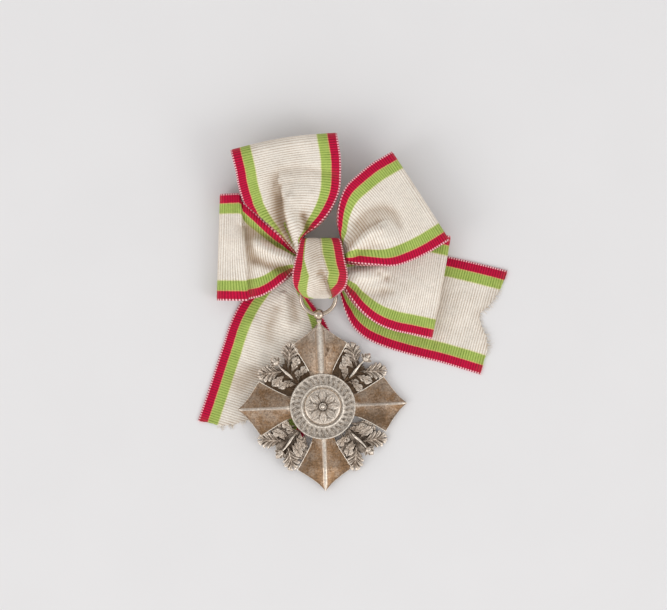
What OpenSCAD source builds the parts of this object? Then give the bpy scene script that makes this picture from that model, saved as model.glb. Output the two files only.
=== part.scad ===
// A silver order cross on a tied ladies' bow ribbon, lying flat on its back.
// X runs to the right, Y runs up the piece and Z rises from the surface that it lies on.
// The origin is on that surface, under the middle of the whole piece.

/* [Ribbon] */
// Thickness of the ribbon's wall
ribbon_wall = 1.0; // [0.8:0.05:1.1]
// How far the middle of a swallowtail is cut back at the left tail
notch_left = 5.6; // [3:0.1:7]
// How far the middle of a swallowtail is cut back at the right tail
notch_right = 4.2; // [3:0.1:6]

/* [Cross] */
// Distance from the middle of the cross to the tip of an arm
arm_reach = 21.1; // [19:0.1:22]
// Distance from the middle of the cross to an arm's shoulders
shoulder_reach = 15.6; // [14:0.1:17]
// Half width of an arm at its shoulders
shoulder_half = 6.9; // [6:0.1:7.5]
// Half width of an arm where it leaves the medallion
neck_half = 2.8; // [2.4:0.1:3.4]
// Height of an arm's middle ridge above its back
ridge_height = 2.3; // [1.8:0.1:2.6]
// Height of an arm at its edges
edge_height = 0.9; // [0.6:0.1:1.2]
// How far the cross is turned to the left
cross_turn = 2.3; // [0:0.1:5]

/* [Medallion] */
// Outer radius of the medallion
medallion_r = 8.2; // [7.6:0.1:8.6]
// Radius of the middle disc
disc_r = 4.6; // [4:0.1:5]
// Number of leaf pairs in the wreath round the medallion
wreath_count = 20; // [14:1:22]
// Number of petals of the rosette
petal_count = 8; // [6:1:10]

/* [Oak sprigs] */
// Length of a large oak leaf
leaf_length = 7.4; // [6.5:0.1:8]
// Half width of a large oak leaf
leaf_half = 1.75; // [1.4:0.05:2]
// Thickness of the leaves
leaf_thick = 0.9; // [0.7:0.1:1.1]

/* [Ring and pin] */
// Outer diameter of the suspension ring
ring_outer_d = 9.7; // [9.2:0.1:9.9]
// Diameter of the suspension ring's wire
ring_wire_d = 1.05; // [0.8:0.05:1.1]
// Diameter of the ball eye on top of the cross
ball_d = 2.75; // [2.5:0.05:3]
// Length of the brooch pin behind the knot
pin_length = 23; // [20:1:25]
// Diameter of the brooch pin's wire
pin_wire_d = 0.9; // [0.7:0.05:1]

/* [Hidden] */

silver = [0.62, 0.56, 0.51];
cream = [0.89, 0.85, 0.80];

// Columns of a loop's table. Edge a is the left one, seen from the knot outwards.
// Front and back are the heights of the two layers, crown is how far the middle stands up.
EDGE_A_X = 0;
EDGE_A_Y = 1;
EDGE_B_X = 2;
EDGE_B_Y = 3;
FRONT = 4;
BACK = 5;
CROWN = 6;

// Loops: a row for each section, from the outer fold to the knot
loop_top_rows = [
    [-30.5, 40.1,  -4.0, 44.3,  9.4, 5.6, 0.3],
    [-29.2, 35.2,  -3.2, 39.4,  9.9, 6.0, 0.6],
    [-27.8, 30.8,  -3.0, 34.4,  9.9, 6.3, 0.7],
    [-24.5, 26.6,  -3.5, 29.6,  9.6, 6.5, 0.7],
    [-21.0, 23.1,  -5.8, 24.8,  9.1, 6.6, 0.6],
    [-17.4, 19.5,  -9.1, 21.2,  8.5, 6.6, 0.4],
    [-15.3, 17.0, -12.7, 18.2,  7.5, 6.1, 0.1],
    [-13.3, 13.9, -11.6, 14.9,  7.7, 6.5, 0.0]];
loop_left_rows = [
    [-33.8,  2.7, -33.0, 29.3,  4.5, 1.3, 0.2],
    [-28.8,  2.7, -28.1, 29.5,  4.7, 1.5, 0.5],
    [-23.8,  3.5, -25.3, 27.3,  4.7, 2.0, 0.8],
    [-20.1,  5.3, -21.7, 23.7,  4.6, 2.5, 1.0],
    [-17.2,  7.6, -18.1, 20.2,  4.6, 3.1, 1.1],
    [-15.2,  9.6, -15.4, 17.0,  4.7, 3.3, 1.1],
    [-13.0, 10.2, -12.8, 13.8,  5.2, 3.8, 0.5],
    [-11.0, 10.2, -10.8, 13.0,  5.5, 4.2, 0.3]];
loop_right_upper_rows = [
    [  9.5, 39.7,  23.8, 17.6,  9.4, 6.3, 0.3],
    [  5.2, 37.2,  19.6, 15.0,  9.9, 6.6, 0.5],
    [  1.4, 34.2,  15.1, 12.8, 10.1, 6.8, 0.6],
    [ -1.8, 31.0,  10.5, 11.3,  9.9, 6.9, 0.6],
    [ -3.5, 26.6,   5.8, 11.5,  9.4, 6.9, 0.5],
    [ -3.8, 21.8,   1.5, 11.9,  8.5, 6.6, 0.4],
    [ -3.0, 17.6,  -1.8, 12.4,  7.6, 6.1, 0.1],
    [ -4.8, 15.2,  -4.6, 12.4,  7.4, 6.0, 0.0]];
loop_right_lower_rows = [
    [ 24.2, 18.8,  19.5, -6.9,  4.7, 1.8, 0.2],
    [ 19.4, 19.8,  14.6, -5.6,  4.9, 2.0, 0.4],
    [ 14.5, 20.1,  10.0, -4.4,  5.0, 2.3, 0.4],
    [  9.8, 19.3,   6.0, -2.5,  5.1, 2.9, 0.4],
    [  5.2, 17.1,   2.4,  0.3,  5.2, 3.6, 0.4],
    [  1.5, 13.8,  -0.6,  3.6,  5.3, 3.8, 0.3],
    [ -1.5, 11.1,  -2.5,  6.3,  5.4, 3.9, 0.1],
    [ -4.6, 10.6,  -4.6,  8.2,  5.6, 4.1, 0.0]];

// Tails: a row for each section, from the cut end to the knot. Front is the only layer.
tail_left_rows = [
    [-13.5, -35.7, -38.8, -27.4, 0.53, 0, 0.0],
    [-12.0, -30.9, -37.2, -22.7, 0.53, 0, 0.0],
    [-10.5, -26.2, -35.6, -17.9, 0.53, 0, 0.0],
    [ -8.9, -21.4, -34.1, -13.2, 0.53, 0, 0.0],
    [ -7.4, -16.7, -32.5,  -8.4, 0.53, 0, 0.0],
    [ -5.8, -11.2, -31.0,  -3.7, 0.53, 0, 0.0],
    [ -5.5,  -6.4, -28.8,   0.6, 0.53, 0, 0.1],
    [ -7.0,  -2.4, -25.0,   2.8, 0.53, 0, 0.2],
    [-10.0,   1.6, -20.5,   5.0, 0.55, 0, 0.3],
    [-13.6,   4.7, -17.0,   7.0, 0.9, 0, 0.2],
    [-13.4,   7.8, -15.2,   8.8, 2.0, 0, 0.0],
    [-11.9,   7.9, -12.9,   9.7, 3.4, 0, 0.0]];
tail_right_rows = [
    [ 38.8,  10.1,  32.0, -15.9, 0.53, 0, 0.0],
    [ 34.2,  11.3,  27.2, -14.4, 0.53, 0, 0.0],
    [ 29.2,  12.5,  22.2, -12.9, 0.53, 0, 0.0],
    [ 24.4,  13.6,  17.4, -11.7, 0.53, 0, 0.0],
    [ 19.5,  14.5,  12.5, -10.4, 0.53, 0, 0.0],
    [ 14.6,  14.8,   7.8,  -8.9, 0.6, 0, 0.0],
    [  9.8,  14.3,   3.2,  -6.8, 1.1, 0, 0.0],
    [  5.0,  12.6,  -0.1,  -3.8, 1.8, 0, 0.0],
    [  1.0,   9.8,  -2.0,   0.1, 2.3, 0, 0.0],
    [ -1.6,   9.4,  -3.1,   3.8, 2.7, 0, 0.0],
    [ -4.2,  10.2,  -4.5,   7.2, 3.0, 0, 0.0]];

// Share of the width, and how much of the notch is cut back there
left_cut = [[0, 0], [0.44, 1], [0.5, 0.89], [0.58, 0.64], [0.67, 0.34], [0.78, 0.1], [1, 0]];
right_cut = [[0, 0], [0.17, 0.14], [0.35, 0.55], [0.46, 1], [0.55, 0.74], [0.64, 0.29], [0.74, 0], [1, 0]];
// Length of tail over which the cut end's shape fades out
cut_fade = 9;

// Ridges and valleys pressed into the ribbon: from x, y to x, y, the rise and the reach to each side
MARK_X1 = 0;
MARK_Y1 = 1;
MARK_X2 = 2;
MARK_Y2 = 3;
MARK_RISE = 4;
MARK_REACH = 5;
loop_top_marks = [
    [-17.5, 30.0, -13.6, 17.5,  0.8, 1.3],
    [-20.8, 29.5, -16.4, 20.5, -0.8, 1.5],
    [-18.0, 34.0,  -8.5, 34.0, -0.6, 1.7],
    [-11.8, 24.6, -10.6, 19.6, -0.8, 1.2],
    [-12.5, 28.5,  -8.0, 28.5,  0.5, 2.4]];
loop_left_marks = [
    [-25.5, 17.4, -14.8, 12.4,  0.7, 1.5],
    [-27.0, 21.5, -19.0, 16.8, -0.7, 1.4],
    [-23.0, 12.0, -15.8, 10.2, -0.8, 1.3]];
loop_right_upper_marks = [
    [ -1.5, 17.0,   5.8, 23.0,  0.7, 1.7],
    [  1.0, 23.5,   8.0, 26.2, -0.8, 1.6],
    [  8.0, 26.2,  12.0, 22.5, -0.6, 1.6],
    [  4.5, 15.0,   9.5, 17.0,  0.4, 2.2]];
loop_right_lower_marks = [
    [  0.0,  8.5,   9.0, 10.0,  0.5, 1.8],
    [ -0.5,  6.0,   7.0,  4.6, -0.5, 1.6]];
tail_left_marks = [
    [-19.0,  0.5, -23.5, -8.5,  0.5, 1.9],
    [-23.8, -0.8, -27.0, -9.0,  0.2, 1.5]];
tail_right_marks = [
    [ 35.5,  3.0,  33.0, -8.0,  0.5, 2.2],
    [ 28.0,  3.0,  25.5, -7.0,  0.3, 2.0]];

// The knot: a row for each section of the band, from its top fold down the front and up the back
KNOT_Y = 0;
KNOT_Z = 1;
KNOT_LEFT = 2;
KNOT_RIGHT = 3;
KNOT_CROWN = 4;
knot_rows = [
    [18.0,  5.6, -11.2,  -5.8, 0.3],
    [17.3,  8.6, -11.8,  -5.0, 0.6],
    [15.3, 10.3, -13.2,  -3.2, 1.2],
    [12.3, 11.0, -14.5,  -2.0, 1.8],
    [ 9.1, 10.9, -15.1,  -1.4, 1.8],
    [ 6.3,  9.6, -14.6,  -1.8, 1.6],
    [ 4.4,  7.3, -13.0,  -3.6, 1.0],
    [ 3.2,  4.7, -11.9,  -5.4, 0.3],
    [ 3.4,  2.8, -11.6,  -5.7, 0.0],
    [ 5.2,  2.05, -11.6,  -5.6, 0.0],
    [ 9.0,  2.05, -11.7,  -5.0, 0.0],
    [13.2,  2.05, -12.2,  -5.2, 0.0],
    [16.6,  3.1, -11.4,  -5.6, 0.1]];

// Sections drawn for each row of a table, and across the ribbon
steps_per_row = 2;
steps_across = 10;
fold_steps = 4;
knot_steps_across = 8;

// Where the cross lies: its middle, how high its back is there, and how it leans
cross_x = -7.7;
cross_y = -23.7;
cross_z = 1.2;
lean_right = 2.8;
lean_down = 1.2;

// The suspension ring's middle and lean
ring_x = -8.65;
ring_y = 3.55;
ring_z = 3.0;
ring_lean = 5.6;
ring_r = (ring_outer_d - ring_wire_d) / 2;

// The pin's middle, and the space between its two wires
pin_x = -8.4;
pin_y = 10.4;
pin_gap = 2.6;
pin_cap_height = 1.4;
pin_cap_length = 4.6;

ball_y = ring_y - ring_r - cross_y + 0.06;
medallion_base = 1.5;
medallion_top = 3.1;
small_gap = 0.06;

function mix(a, b, share) = a + (b - a) * share;

// A smooth curve through the rows of a table, at a row number that need not be whole
function row_at(rows, t) =
    let (last = len(rows) - 1)
    let (i = min(floor(t), last - 1))
    let (f = t - i)
    let (p = rows[max(i - 1, 0)], q = rows[i], r = rows[i + 1], s = rows[min(i + 2, last)])
    0.5 * (2 * q + (r - p) * f + (2 * p - 5 * q + 4 * r - s) * f * f
           + (3 * q - p - 3 * r + s) * f * f * f);

function ring_row_at(rows, t) =
    let (n = len(rows))
    let (i = floor(t))
    let (f = t - i)
    let (p = rows[(i + n - 1) % n], q = rows[i % n], r = rows[(i + 1) % n], s = rows[(i + 2) % n])
    0.5 * (2 * q + (r - p) * f + (2 * p - 5 * q + 4 * r - s) * f * f
           + (3 * q - p - 3 * r + s) * f * f * f);

// Distance from a point to the line between a mark's ends
function mark_distance(x, y, m) =
    let (dx = m[MARK_X2] - m[MARK_X1], dy = m[MARK_Y2] - m[MARK_Y1])
    let (along = ((x - m[MARK_X1]) * dx + (y - m[MARK_Y1]) * dy) / (dx * dx + dy * dy))
    let (share = max(0, min(1, along)))
    norm([x - m[MARK_X1] - share * dx, y - m[MARK_Y1] - share * dy]);

function marks_rise(x, y, marks, i = 0) =
    i == len(marks) ? 0 :
    marks[i][MARK_RISE] * exp(-pow(mark_distance(x, y, marks[i]) / marks[i][MARK_REACH], 2))
    + marks_rise(x, y, marks, i + 1);

// A point of a layer, at a share of the ribbon's width from edge a to edge b
function layer_point(row, height, crown, share, marks) =
    let (x = mix(row[EDGE_A_X], row[EDGE_B_X], share))
    let (y = mix(row[EDGE_A_Y], row[EDGE_B_Y], share))
    [x, y, height + crown * sin(180 * share) + marks_rise(x, y, marks)];

// The rounded fold between the two layers, from the front over the outer edge to the back
function fold_point(rows, share, turn, marks) =
    let (near = layer_point(rows[1], 0, 0, share, []))
    let (outer = layer_point(rows[0], 0, 0, share, []))
    let (out = (outer - near) / norm(outer - near))
    let (r = (rows[0][FRONT] - rows[0][BACK]) / 2)
    let (middle = outer - out * r + [0, 0, rows[0][BACK] + r])
    middle + out * r * sin(turn) + [0, 0, r * cos(turn)]
    + [0, 0, rows[0][CROWN] * sin(180 * share) * (1 + cos(turn)) / 2];

// Middle surface of a loop, from the knot along the front, round the fold and back to the knot
function loop_grid(rows, marks) =
    let (last = len(rows) - 1)
    concat(
        [for (k = [last * steps_per_row : -1 : steps_per_row])
            let (row = row_at(rows, k / steps_per_row))
            [for (j = [0 : steps_across])
                layer_point(row, row[FRONT], row[CROWN], j / steps_across, marks)]],
        [for (k = [0 : fold_steps])
            [for (j = [0 : steps_across])
                fold_point(rows, j / steps_across, 180 * k / fold_steps, marks)]],
        [for (k = [steps_per_row : last * steps_per_row])
            let (row = row_at(rows, k / steps_per_row))
            [for (j = [0 : steps_across])
                layer_point(row, row[BACK], row[CROWN] * 0.5, j / steps_across, [])]]);

// Middle surface of a tail, from the knot to its cut end
function tail_grid(rows, marks, cut, notch) =
    let (last = len(rows) - 1)
    let (corner = [(rows[0][EDGE_A_X] + rows[0][EDGE_B_X]) / 2, (rows[0][EDGE_A_Y] + rows[0][EDGE_B_Y]) / 2])
    let (inner = [(rows[1][EDGE_A_X] + rows[1][EDGE_B_X]) / 2, (rows[1][EDGE_A_Y] + rows[1][EDGE_B_Y]) / 2])
    let (inwards = (inner - corner) / norm(inner - corner))
    [for (k = [last * steps_per_row : -1 : 0])
        let (row = row_at(rows, k / steps_per_row))
        let (along = k / steps_per_row * norm(inner - corner))
        let (fade = max(0, 1 - along / cut_fade))
        [for (j = [0 : steps_across])
            let (share = j / steps_across)
            layer_point(row, row[FRONT], row[CROWN], share, marks)
            + concat(inwards * notch * fade * lookup(share, cut), [0])]];

// Middle surface of the knot's band, all the way round
function knot_grid(rows) =
    [for (k = [0 : len(rows) * steps_per_row - 1])
        let (row = ring_row_at(rows, k / steps_per_row))
        [for (j = [knot_steps_across : -1 : 0])
            let (share = j / knot_steps_across)
            [mix(row[KNOT_LEFT], row[KNOT_RIGHT], share), row[KNOT_Y],
             row[KNOT_Z] - row[KNOT_CROWN] * pow(2 * share - 1, 2)]]];

// Direction that the middle surface faces at a point of its grid
function grid_normal(grid, i, j, closed) =
    let (n = len(grid), m = len(grid[0]))
    let (after = closed ? (i + 1) % n : min(i + 1, n - 1))
    let (before = closed ? (i + n - 1) % n : max(i - 1, 0))
    let (along = grid[after][j] - grid[before][j])
    let (over = grid[i][min(j + 1, m - 1)] - grid[i][max(j - 1, 0)])
    let (c = cross(over, along))
    c / norm(c);

// Faces of one side of a wall whose points start at a number, as triangles
function side_faces(n, m, start, closed, flip) =
    [for (i = [0 : closed ? n - 1 : n - 2], j = [0 : m - 2])
        let (a = start + i * m + j, b = start + (i + 1) % n * m + j)
        each flip ? [[a, a + 1, b + 1], [a, b + 1, b]] : [[a, b + 1, a + 1], [a, b, b + 1]]];

// Faces along the two edges of a wall
function edge_faces(n, m, closed) =
    [for (i = [0 : closed ? n - 1 : n - 2])
        let (a = i * m, b = (i + 1) % n * m, low = n * m)
        each [[a, low + a, low + b], [a, low + b, b],
              [a + m - 1, b + m - 1, low + b + m - 1], [a + m - 1, low + b + m - 1, low + a + m - 1]]];

// Faces over the two ends of a wall that is not closed
function end_faces(n, m) =
    [for (j = [0 : m - 2])
        let (low = n * m, e = (n - 1) * m)
        each [[j, j + 1, low + j + 1], [j, low + j + 1, low + j],
              [e + j, low + e + j, low + e + j + 1], [e + j, low + e + j + 1, e + j + 1]]];

// A wall of even thickness on both sides of a middle surface
module ribbon(grid, closed = false) {
    n = len(grid);
    m = len(grid[0]);
    half = ribbon_wall / 2;
    outer = [for (i = [0 : n - 1], j = [0 : m - 1]) grid[i][j] + half * grid_normal(grid, i, j, closed)];
    inner = [for (i = [0 : n - 1], j = [0 : m - 1]) grid[i][j] - half * grid_normal(grid, i, j, closed)];
    polyhedron(
        points = concat(outer, inner),
        faces = concat(
            side_faces(n, m, 0, closed, false),
            side_faces(n, m, n * m, closed, true),
            edge_faces(n, m, closed),
            closed ? [] : end_faces(n, m)),
        convexity = 8);
}

module tail_left() {
    color(cream)
        ribbon(tail_grid(tail_left_rows, tail_left_marks, left_cut, notch_left));
}

module tail_right() {
    color(cream)
        ribbon(tail_grid(tail_right_rows, tail_right_marks, right_cut, notch_right));
}

module loop_left() {
    color(cream)
        ribbon(loop_grid(loop_left_rows, loop_left_marks));
}

module loop_right_lower() {
    color(cream)
        ribbon(loop_grid(loop_right_lower_rows, loop_right_lower_marks));
}

module loop_top() {
    color(cream)
        ribbon(loop_grid(loop_top_rows, loop_top_marks));
}

module loop_right_upper() {
    color(cream)
        ribbon(loop_grid(loop_right_upper_rows, loop_right_upper_marks));
}

module knot() {
    color(cream)
        ribbon(knot_grid(knot_rows), closed = true);
}

module suspension_ring() {
    color(silver)
        translate([ring_x, ring_y, ring_z])
            rotate([ring_lean, 0, 0])
                rotate_extrude($fn = 64)
                    translate([ring_r, 0])
                        circle(d = ring_wire_d, $fn = 24);
}

// A plain safety pin: two wires between a round coil at one end and a cap at the other
module brooch_pin() {
    wire_z = pin_cap_height / 2;
    left = pin_x - pin_length / 2;
    right = left + pin_length;
    wire_y = (pin_gap + pin_wire_d) / 2;
    end_r = wire_y + pin_wire_d / 2 + 0.35;
    coil_hole_r = 0.9;
    color(silver) {
        for (side = [-1, 1])
            translate([left + end_r, pin_y + side * wire_y, wire_z])
                rotate([0, 90, 0])
                    cylinder(h = pin_length - 2 * end_r, d = pin_wire_d, $fn = 24);
        translate([left + end_r, pin_y, 0])
            difference() {
                cylinder(h = pin_cap_height, r = end_r, $fn = 48);
                translate([0, 0, -1])
                    cylinder(h = pin_cap_height + 2, r = coil_hole_r, $fn = 32);
            }
        translate([right - end_r, pin_y, 0])
            cylinder(h = pin_cap_height, r = end_r, $fn = 48);
        translate([right - pin_cap_length, pin_y - end_r, 0])
            cube([pin_cap_length - end_r, 2 * end_r, pin_cap_height]);
    }
}

// Puts a part of the cross where it lies
module on_cross() {
    translate([cross_x, cross_y, cross_z])
        rotate([lean_down, lean_right, cross_turn])
            children();
}

// Half width of an arm at a distance from the middle
function arm_half(r) =
    r < shoulder_reach
    ? mix(neck_half, shoulder_half, pow(max(0, (r - medallion_r) / (shoulder_reach - medallion_r)), 1.06))
    : mix(0.18, shoulder_half, pow(max(0, 1 - (r - shoulder_reach) / (arm_reach - shoulder_reach)), 1.25));

function arm_ridge(r) =
    r < shoulder_reach ? ridge_height : mix(edge_height + 0.25, ridge_height,
                                            (arm_reach - r) / (arm_reach - shoulder_reach));

// One section of an arm, as points round it from the left of its back
function arm_section(r) =
    let (w = arm_half(r), h = arm_ridge(r), e = edge_height)
    let (bead = min(0.8, w * 0.45), rise = h - e)
    [[-w, r, 0], [-w, r, e], [-mix(bead, w, 0.45), r, e + 0.24 * rise],
     [-bead, r, e + 0.62 * rise], [-bead * 0.5, r, h - 0.08], [0, r, h], [bead * 0.5, r, h - 0.08],
     [bead, r, e + 0.62 * rise], [mix(bead, w, 0.45), r, e + 0.24 * rise], [w, r, e], [w, r, 0],
     [0, r, 0]];

arm_stations = [5, 8.2, 10, 12, 14, 15.2, 15.6, 16.4, 17.4, 18.4, 19.4, 20.4, arm_reach];

// An arm that points up, hollow-ground on both sides of a rounded ridge
module arm() {
    sections = [for (r = arm_stations) arm_section(r)];
    n = len(sections);
    m = len(sections[0]);
    polyhedron(
        points = [for (s = sections) each s],
        faces = concat(
            [for (i = [0 : n - 2], j = [0 : m - 1])
                let (a = i * m + j, b = i * m + (j + 1) % m, c = a + m, d = b + m)
                each [[a, d, b], [a, c, d]]],
            [for (j = [0 : m - 3]) [m - 1, j, j + 1]],
            [for (j = [0 : m - 3]) let (e = (n - 1) * m) [e + m - 1, e + j + 1, e + j]]),
        convexity = 4);
}

// Half width of an oak leaf at a share of its length, with lobes along its edge
function leaf_edge(share, half) =
    half * pow(sin(180 * pow(share, 0.8)), 0.7) * (0.78 + 0.22 * cos(360 * (share * 4.2 - 0.05)));

leaf_points = 22;

// Outline of an oak leaf along Y, from its stalk to its tip
module leaf_outline(length, half) {
    polygon(concat(
        [for (k = [0 : leaf_points]) [max(0.12, leaf_edge(k / leaf_points, half)), length * k / leaf_points]],
        [for (k = [leaf_points : -1 : 0]) [-max(0.12, leaf_edge(k / leaf_points, half)), length * k / leaf_points]]));
}

// The raised midrib and side veins of a leaf
module leaf_veins(length, half) {
    rib = 0.17;
    polygon([[-rib, -0.4], [rib, -0.4], [0.06, length * 0.95], [-0.06, length * 0.95]]);
    for (share = [0.2 : 0.22 : 0.72])
        for (side = [-1, 1])
            translate([0, length * share])
                rotate(-side * 38)
                    polygon([[-0.1, 0], [0.1, 0], [0.05, half * 1.05], [-0.05, half * 1.05]]);
}

module leaf(length, half) {
    vein_rise = 0.3;
    linear_extrude(height = leaf_thick)
        leaf_outline(length, half);
    linear_extrude(height = leaf_thick + vein_rise)
        leaf_veins(length, half);
}

// An acorn in its cup, along Y from the end of its stalk
module acorn() {
    cup_r = 1.05;
    nut_r = 0.85;
    rotate([-90, 0, 0]) {
        rotate_extrude($fn = 32)
            polygon([[0, 0], [0.55, 0.05], [0.95, 0.4], [cup_r, 0.9], [cup_r - 0.1, 1.2], [0, 1.2]]);
        rotate_extrude($fn = 32)
            polygon([[0, 1.1], [nut_r, 1.1], [nut_r, 1.7], [0.68, 2.2], [0.3, 2.55], [0.1, 2.75], [0, 2.75]]);
    }
}

// Leaves, leaflets and acorn of each sprig: the sprig's own corner, then the turn of its two
// leaves from the diagonal and the turn and length of the acorn's stalk
SPRIG_CORNER = 0;
SPRIG_LEAF_A = 1;
SPRIG_LEAF_B = 2;
SPRIG_ACORN = 3;
SPRIG_STALK = 4;
sprig_rows = [
    [-45,  57, -49,  2, 4.4],
    [-135, 50, -55, -3, 4.2],
    [135,  55, -52,  4, 4.0],
    [45,   50, -57, -2, 4.3]];
sprig_reach = 12.4;

// One sprig along Y, rooted under the medallion
module sprig(row) {
    stem = 0.32;
    stem_height = 1.05;
    acorn_z = 1.3;
    leaflet_length = 3.4;
    leaflet_half = 1.0;
    berry_r = 0.62;
    berry_z = 0.95;
    linear_extrude(height = stem_height)
        polygon([[-stem, 6.5], [stem, 6.5], [stem * 0.8, sprig_reach + 0.6], [-stem * 0.8, sprig_reach + 0.6]]);
    translate([0, sprig_reach, 0]) {
        rotate([0, 0, row[SPRIG_LEAF_A]])
            leaf(leaf_length, leaf_half);
        rotate([0, 0, row[SPRIG_LEAF_B]])
            leaf(leaf_length, leaf_half);
        rotate([0, 0, row[SPRIG_ACORN]]) {
            linear_extrude(height = stem_height)
                polygon([[-0.22, 0], [0.22, 0], [0.2, row[SPRIG_STALK]], [-0.2, row[SPRIG_STALK]]]);
            translate([0, row[SPRIG_STALK] - 1.6, acorn_z])
                acorn();
        }
    }
    for (side = [-1, 1]) {
        translate([0, sprig_reach - 2.6, 0])
            rotate([0, 0, side * 62])
                leaf(leaflet_length, leaflet_half);
        translate([side * 1.25, sprig_reach - 3.4, berry_z])
            sphere(r = berry_r, $fn = 24);
        linear_extrude(height = stem_height)
            polygon([[0, sprig_reach - 3.9], [side * 1.3, sprig_reach - 3.6],
                     [side * 1.3, sprig_reach - 3.2], [0, sprig_reach - 3.2]]);
    }
}

// The ball on top of the cross, drilled from side to side for the ring
module ball_eye() {
    eye_r = ring_wire_d / 2 + 0.25;
    rotate([0, 90, 0])
        rotate_extrude($fn = 48)
            difference() {
                circle(d = ball_d, $fn = 48);
                translate([-ball_d, -ball_d])
                    square([ball_d + eye_r, 2 * ball_d]);
            }
}

// The cross: four arms, the hub, the sprigs and the ball eye, soldered into one piece
module cross_body() {
    hub_r = 7.4;
    collar_r = 0.6;
    collar_z = 0.75;
    ball_z = 0.95;
    color(silver)
        on_cross()
            difference() {
                union() {
                    for (turn = [0, 90, 180, 270])
                        rotate([0, 0, turn])
                            arm();
                    cylinder(h = medallion_base, r = hub_r, $fn = 64);
                    for (row = sprig_rows)
                        rotate([0, 0, row[SPRIG_CORNER]])
                            sprig(row);
                    translate([0, arm_reach - 1.3, collar_z])
                        rotate([-90, 0, 0])
                            cylinder(h = ball_y - 1.0 - arm_reach + 1.3, r = collar_r, $fn = 24);
                    translate([0, ball_y, ball_z])
                        ball_eye();
                }
                translate([0, 0, medallion_base])
                    cylinder(h = ridge_height, r = medallion_r + small_gap, $fn = 64);
            }
}

// The medallion's band: two rims and a wreath of small leaves in pairs
module medallion_ring() {
    rim = 0.42;
    field = medallion_top - 0.35;
    inner_r = disc_r + 0.35;
    wreath_r = (medallion_r + inner_r) / 2;
    leaf_l = 0.95;
    color(silver)
        on_cross()
            union() {
                rotate_extrude($fn = 64)
                    polygon([[inner_r, medallion_base + small_gap], [medallion_r, medallion_base + small_gap],
                             [medallion_r, medallion_top - 0.1], [medallion_r - 0.12, medallion_top],
                             [medallion_r - rim, medallion_top], [medallion_r - rim, field],
                             [inner_r + rim, field], [inner_r + rim, medallion_top],
                             [inner_r, medallion_top]]);
                for (k = [0 : wreath_count - 1], side = [-1, 1])
                    rotate([0, 0, 360 * k / wreath_count])
                        translate([wreath_r, 0, 0])
                            rotate([0, 0, side * 32])
                                translate([side * 0.48, 0, field - 0.1])
                                    linear_extrude(height = 0.4)
                                        polygon([[0, -leaf_l], [0.3, -0.1], [0.16, 0.6], [0, leaf_l],
                                                 [-0.16, 0.6], [-0.3, -0.1]]);
            }
}

// The middle disc with a rosette in relief
module medallion_disc() {
    field = medallion_top - 0.45;
    petal_l = 3.3;
    petal_w = 0.72;
    color(silver)
        on_cross()
            union() {
                translate([0, 0, medallion_base + small_gap])
                    cylinder(h = field - medallion_base - small_gap, r = disc_r + 0.25, $fn = 64);
                difference() {
                    cylinder(h = medallion_top - 0.2, r = disc_r, $fn = 64);
                    translate([0, 0, -1])
                        cylinder(h = medallion_top + 2, r = disc_r - 0.35, $fn = 64);
                    translate([0, 0, -1])
                        cylinder(h = field + 0.9, r = disc_r + 1, $fn = 64);
                }
                for (k = [0 : petal_count - 1])
                    rotate([0, 0, 360 * k / petal_count])
                        translate([0, 0, field - 0.1])
                            linear_extrude(height = 0.42)
                                polygon([[0, 0.5], [petal_w * 0.75, petal_l * 0.5], [petal_w, petal_l * 0.78],
                                         [petal_w * 0.5, petal_l], [0, petal_l * 0.92], [-petal_w * 0.5, petal_l],
                                         [-petal_w, petal_l * 0.78], [-petal_w * 0.75, petal_l * 0.5]]);
                translate([0, 0, field - 0.1])
                    cylinder(h = 0.62, r = 0.95, $fn = 32);
            }
}

brooch_pin();
tail_left();
tail_right();
loop_left();
loop_right_lower();
loop_top();
loop_right_upper();
knot();
suspension_ring();
cross_body();
medallion_ring();
medallion_disc();
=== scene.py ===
# An order cross in silver on a tied bow of striped ribbed ribbon, lying flat on a pale table.
# Every piece is built round the measured frame, with X to the right, Y up the piece and Z up from
# the table. Tables and what the functions take are in millimetres, and the meshes are in metres.
import math
import random
from contextlib import contextmanager
from types import SimpleNamespace

import bmesh
import bpy
import numpy as np
from bpy.props import FloatProperty, FloatVectorProperty, IntProperty, PointerProperty
from mathutils import Euler, Matrix, Vector


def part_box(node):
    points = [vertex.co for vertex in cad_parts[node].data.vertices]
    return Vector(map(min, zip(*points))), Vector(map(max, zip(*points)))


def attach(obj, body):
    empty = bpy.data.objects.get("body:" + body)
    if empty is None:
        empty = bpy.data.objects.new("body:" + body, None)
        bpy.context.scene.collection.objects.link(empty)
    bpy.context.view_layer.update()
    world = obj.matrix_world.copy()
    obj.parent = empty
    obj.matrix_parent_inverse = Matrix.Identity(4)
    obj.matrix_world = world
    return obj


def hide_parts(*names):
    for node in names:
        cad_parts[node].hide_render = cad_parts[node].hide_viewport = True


bl_info = {
    "name": "Order Cross on a Bow",
    "version": (1, 0, 0),
    "blender": (4, 5, 0),
    "location": "View3D > Sidebar > Order Cross",
    "description": "Builds a silver order cross with oak sprigs on a bow of striped ribbed ribbon",
    "category": "Add Mesh",
}

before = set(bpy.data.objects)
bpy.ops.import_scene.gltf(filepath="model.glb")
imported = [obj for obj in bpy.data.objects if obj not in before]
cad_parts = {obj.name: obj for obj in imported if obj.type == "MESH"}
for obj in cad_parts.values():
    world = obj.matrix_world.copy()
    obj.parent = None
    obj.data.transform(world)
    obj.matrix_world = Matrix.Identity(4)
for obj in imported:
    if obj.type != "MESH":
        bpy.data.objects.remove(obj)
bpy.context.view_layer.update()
MM = 0.001

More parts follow.
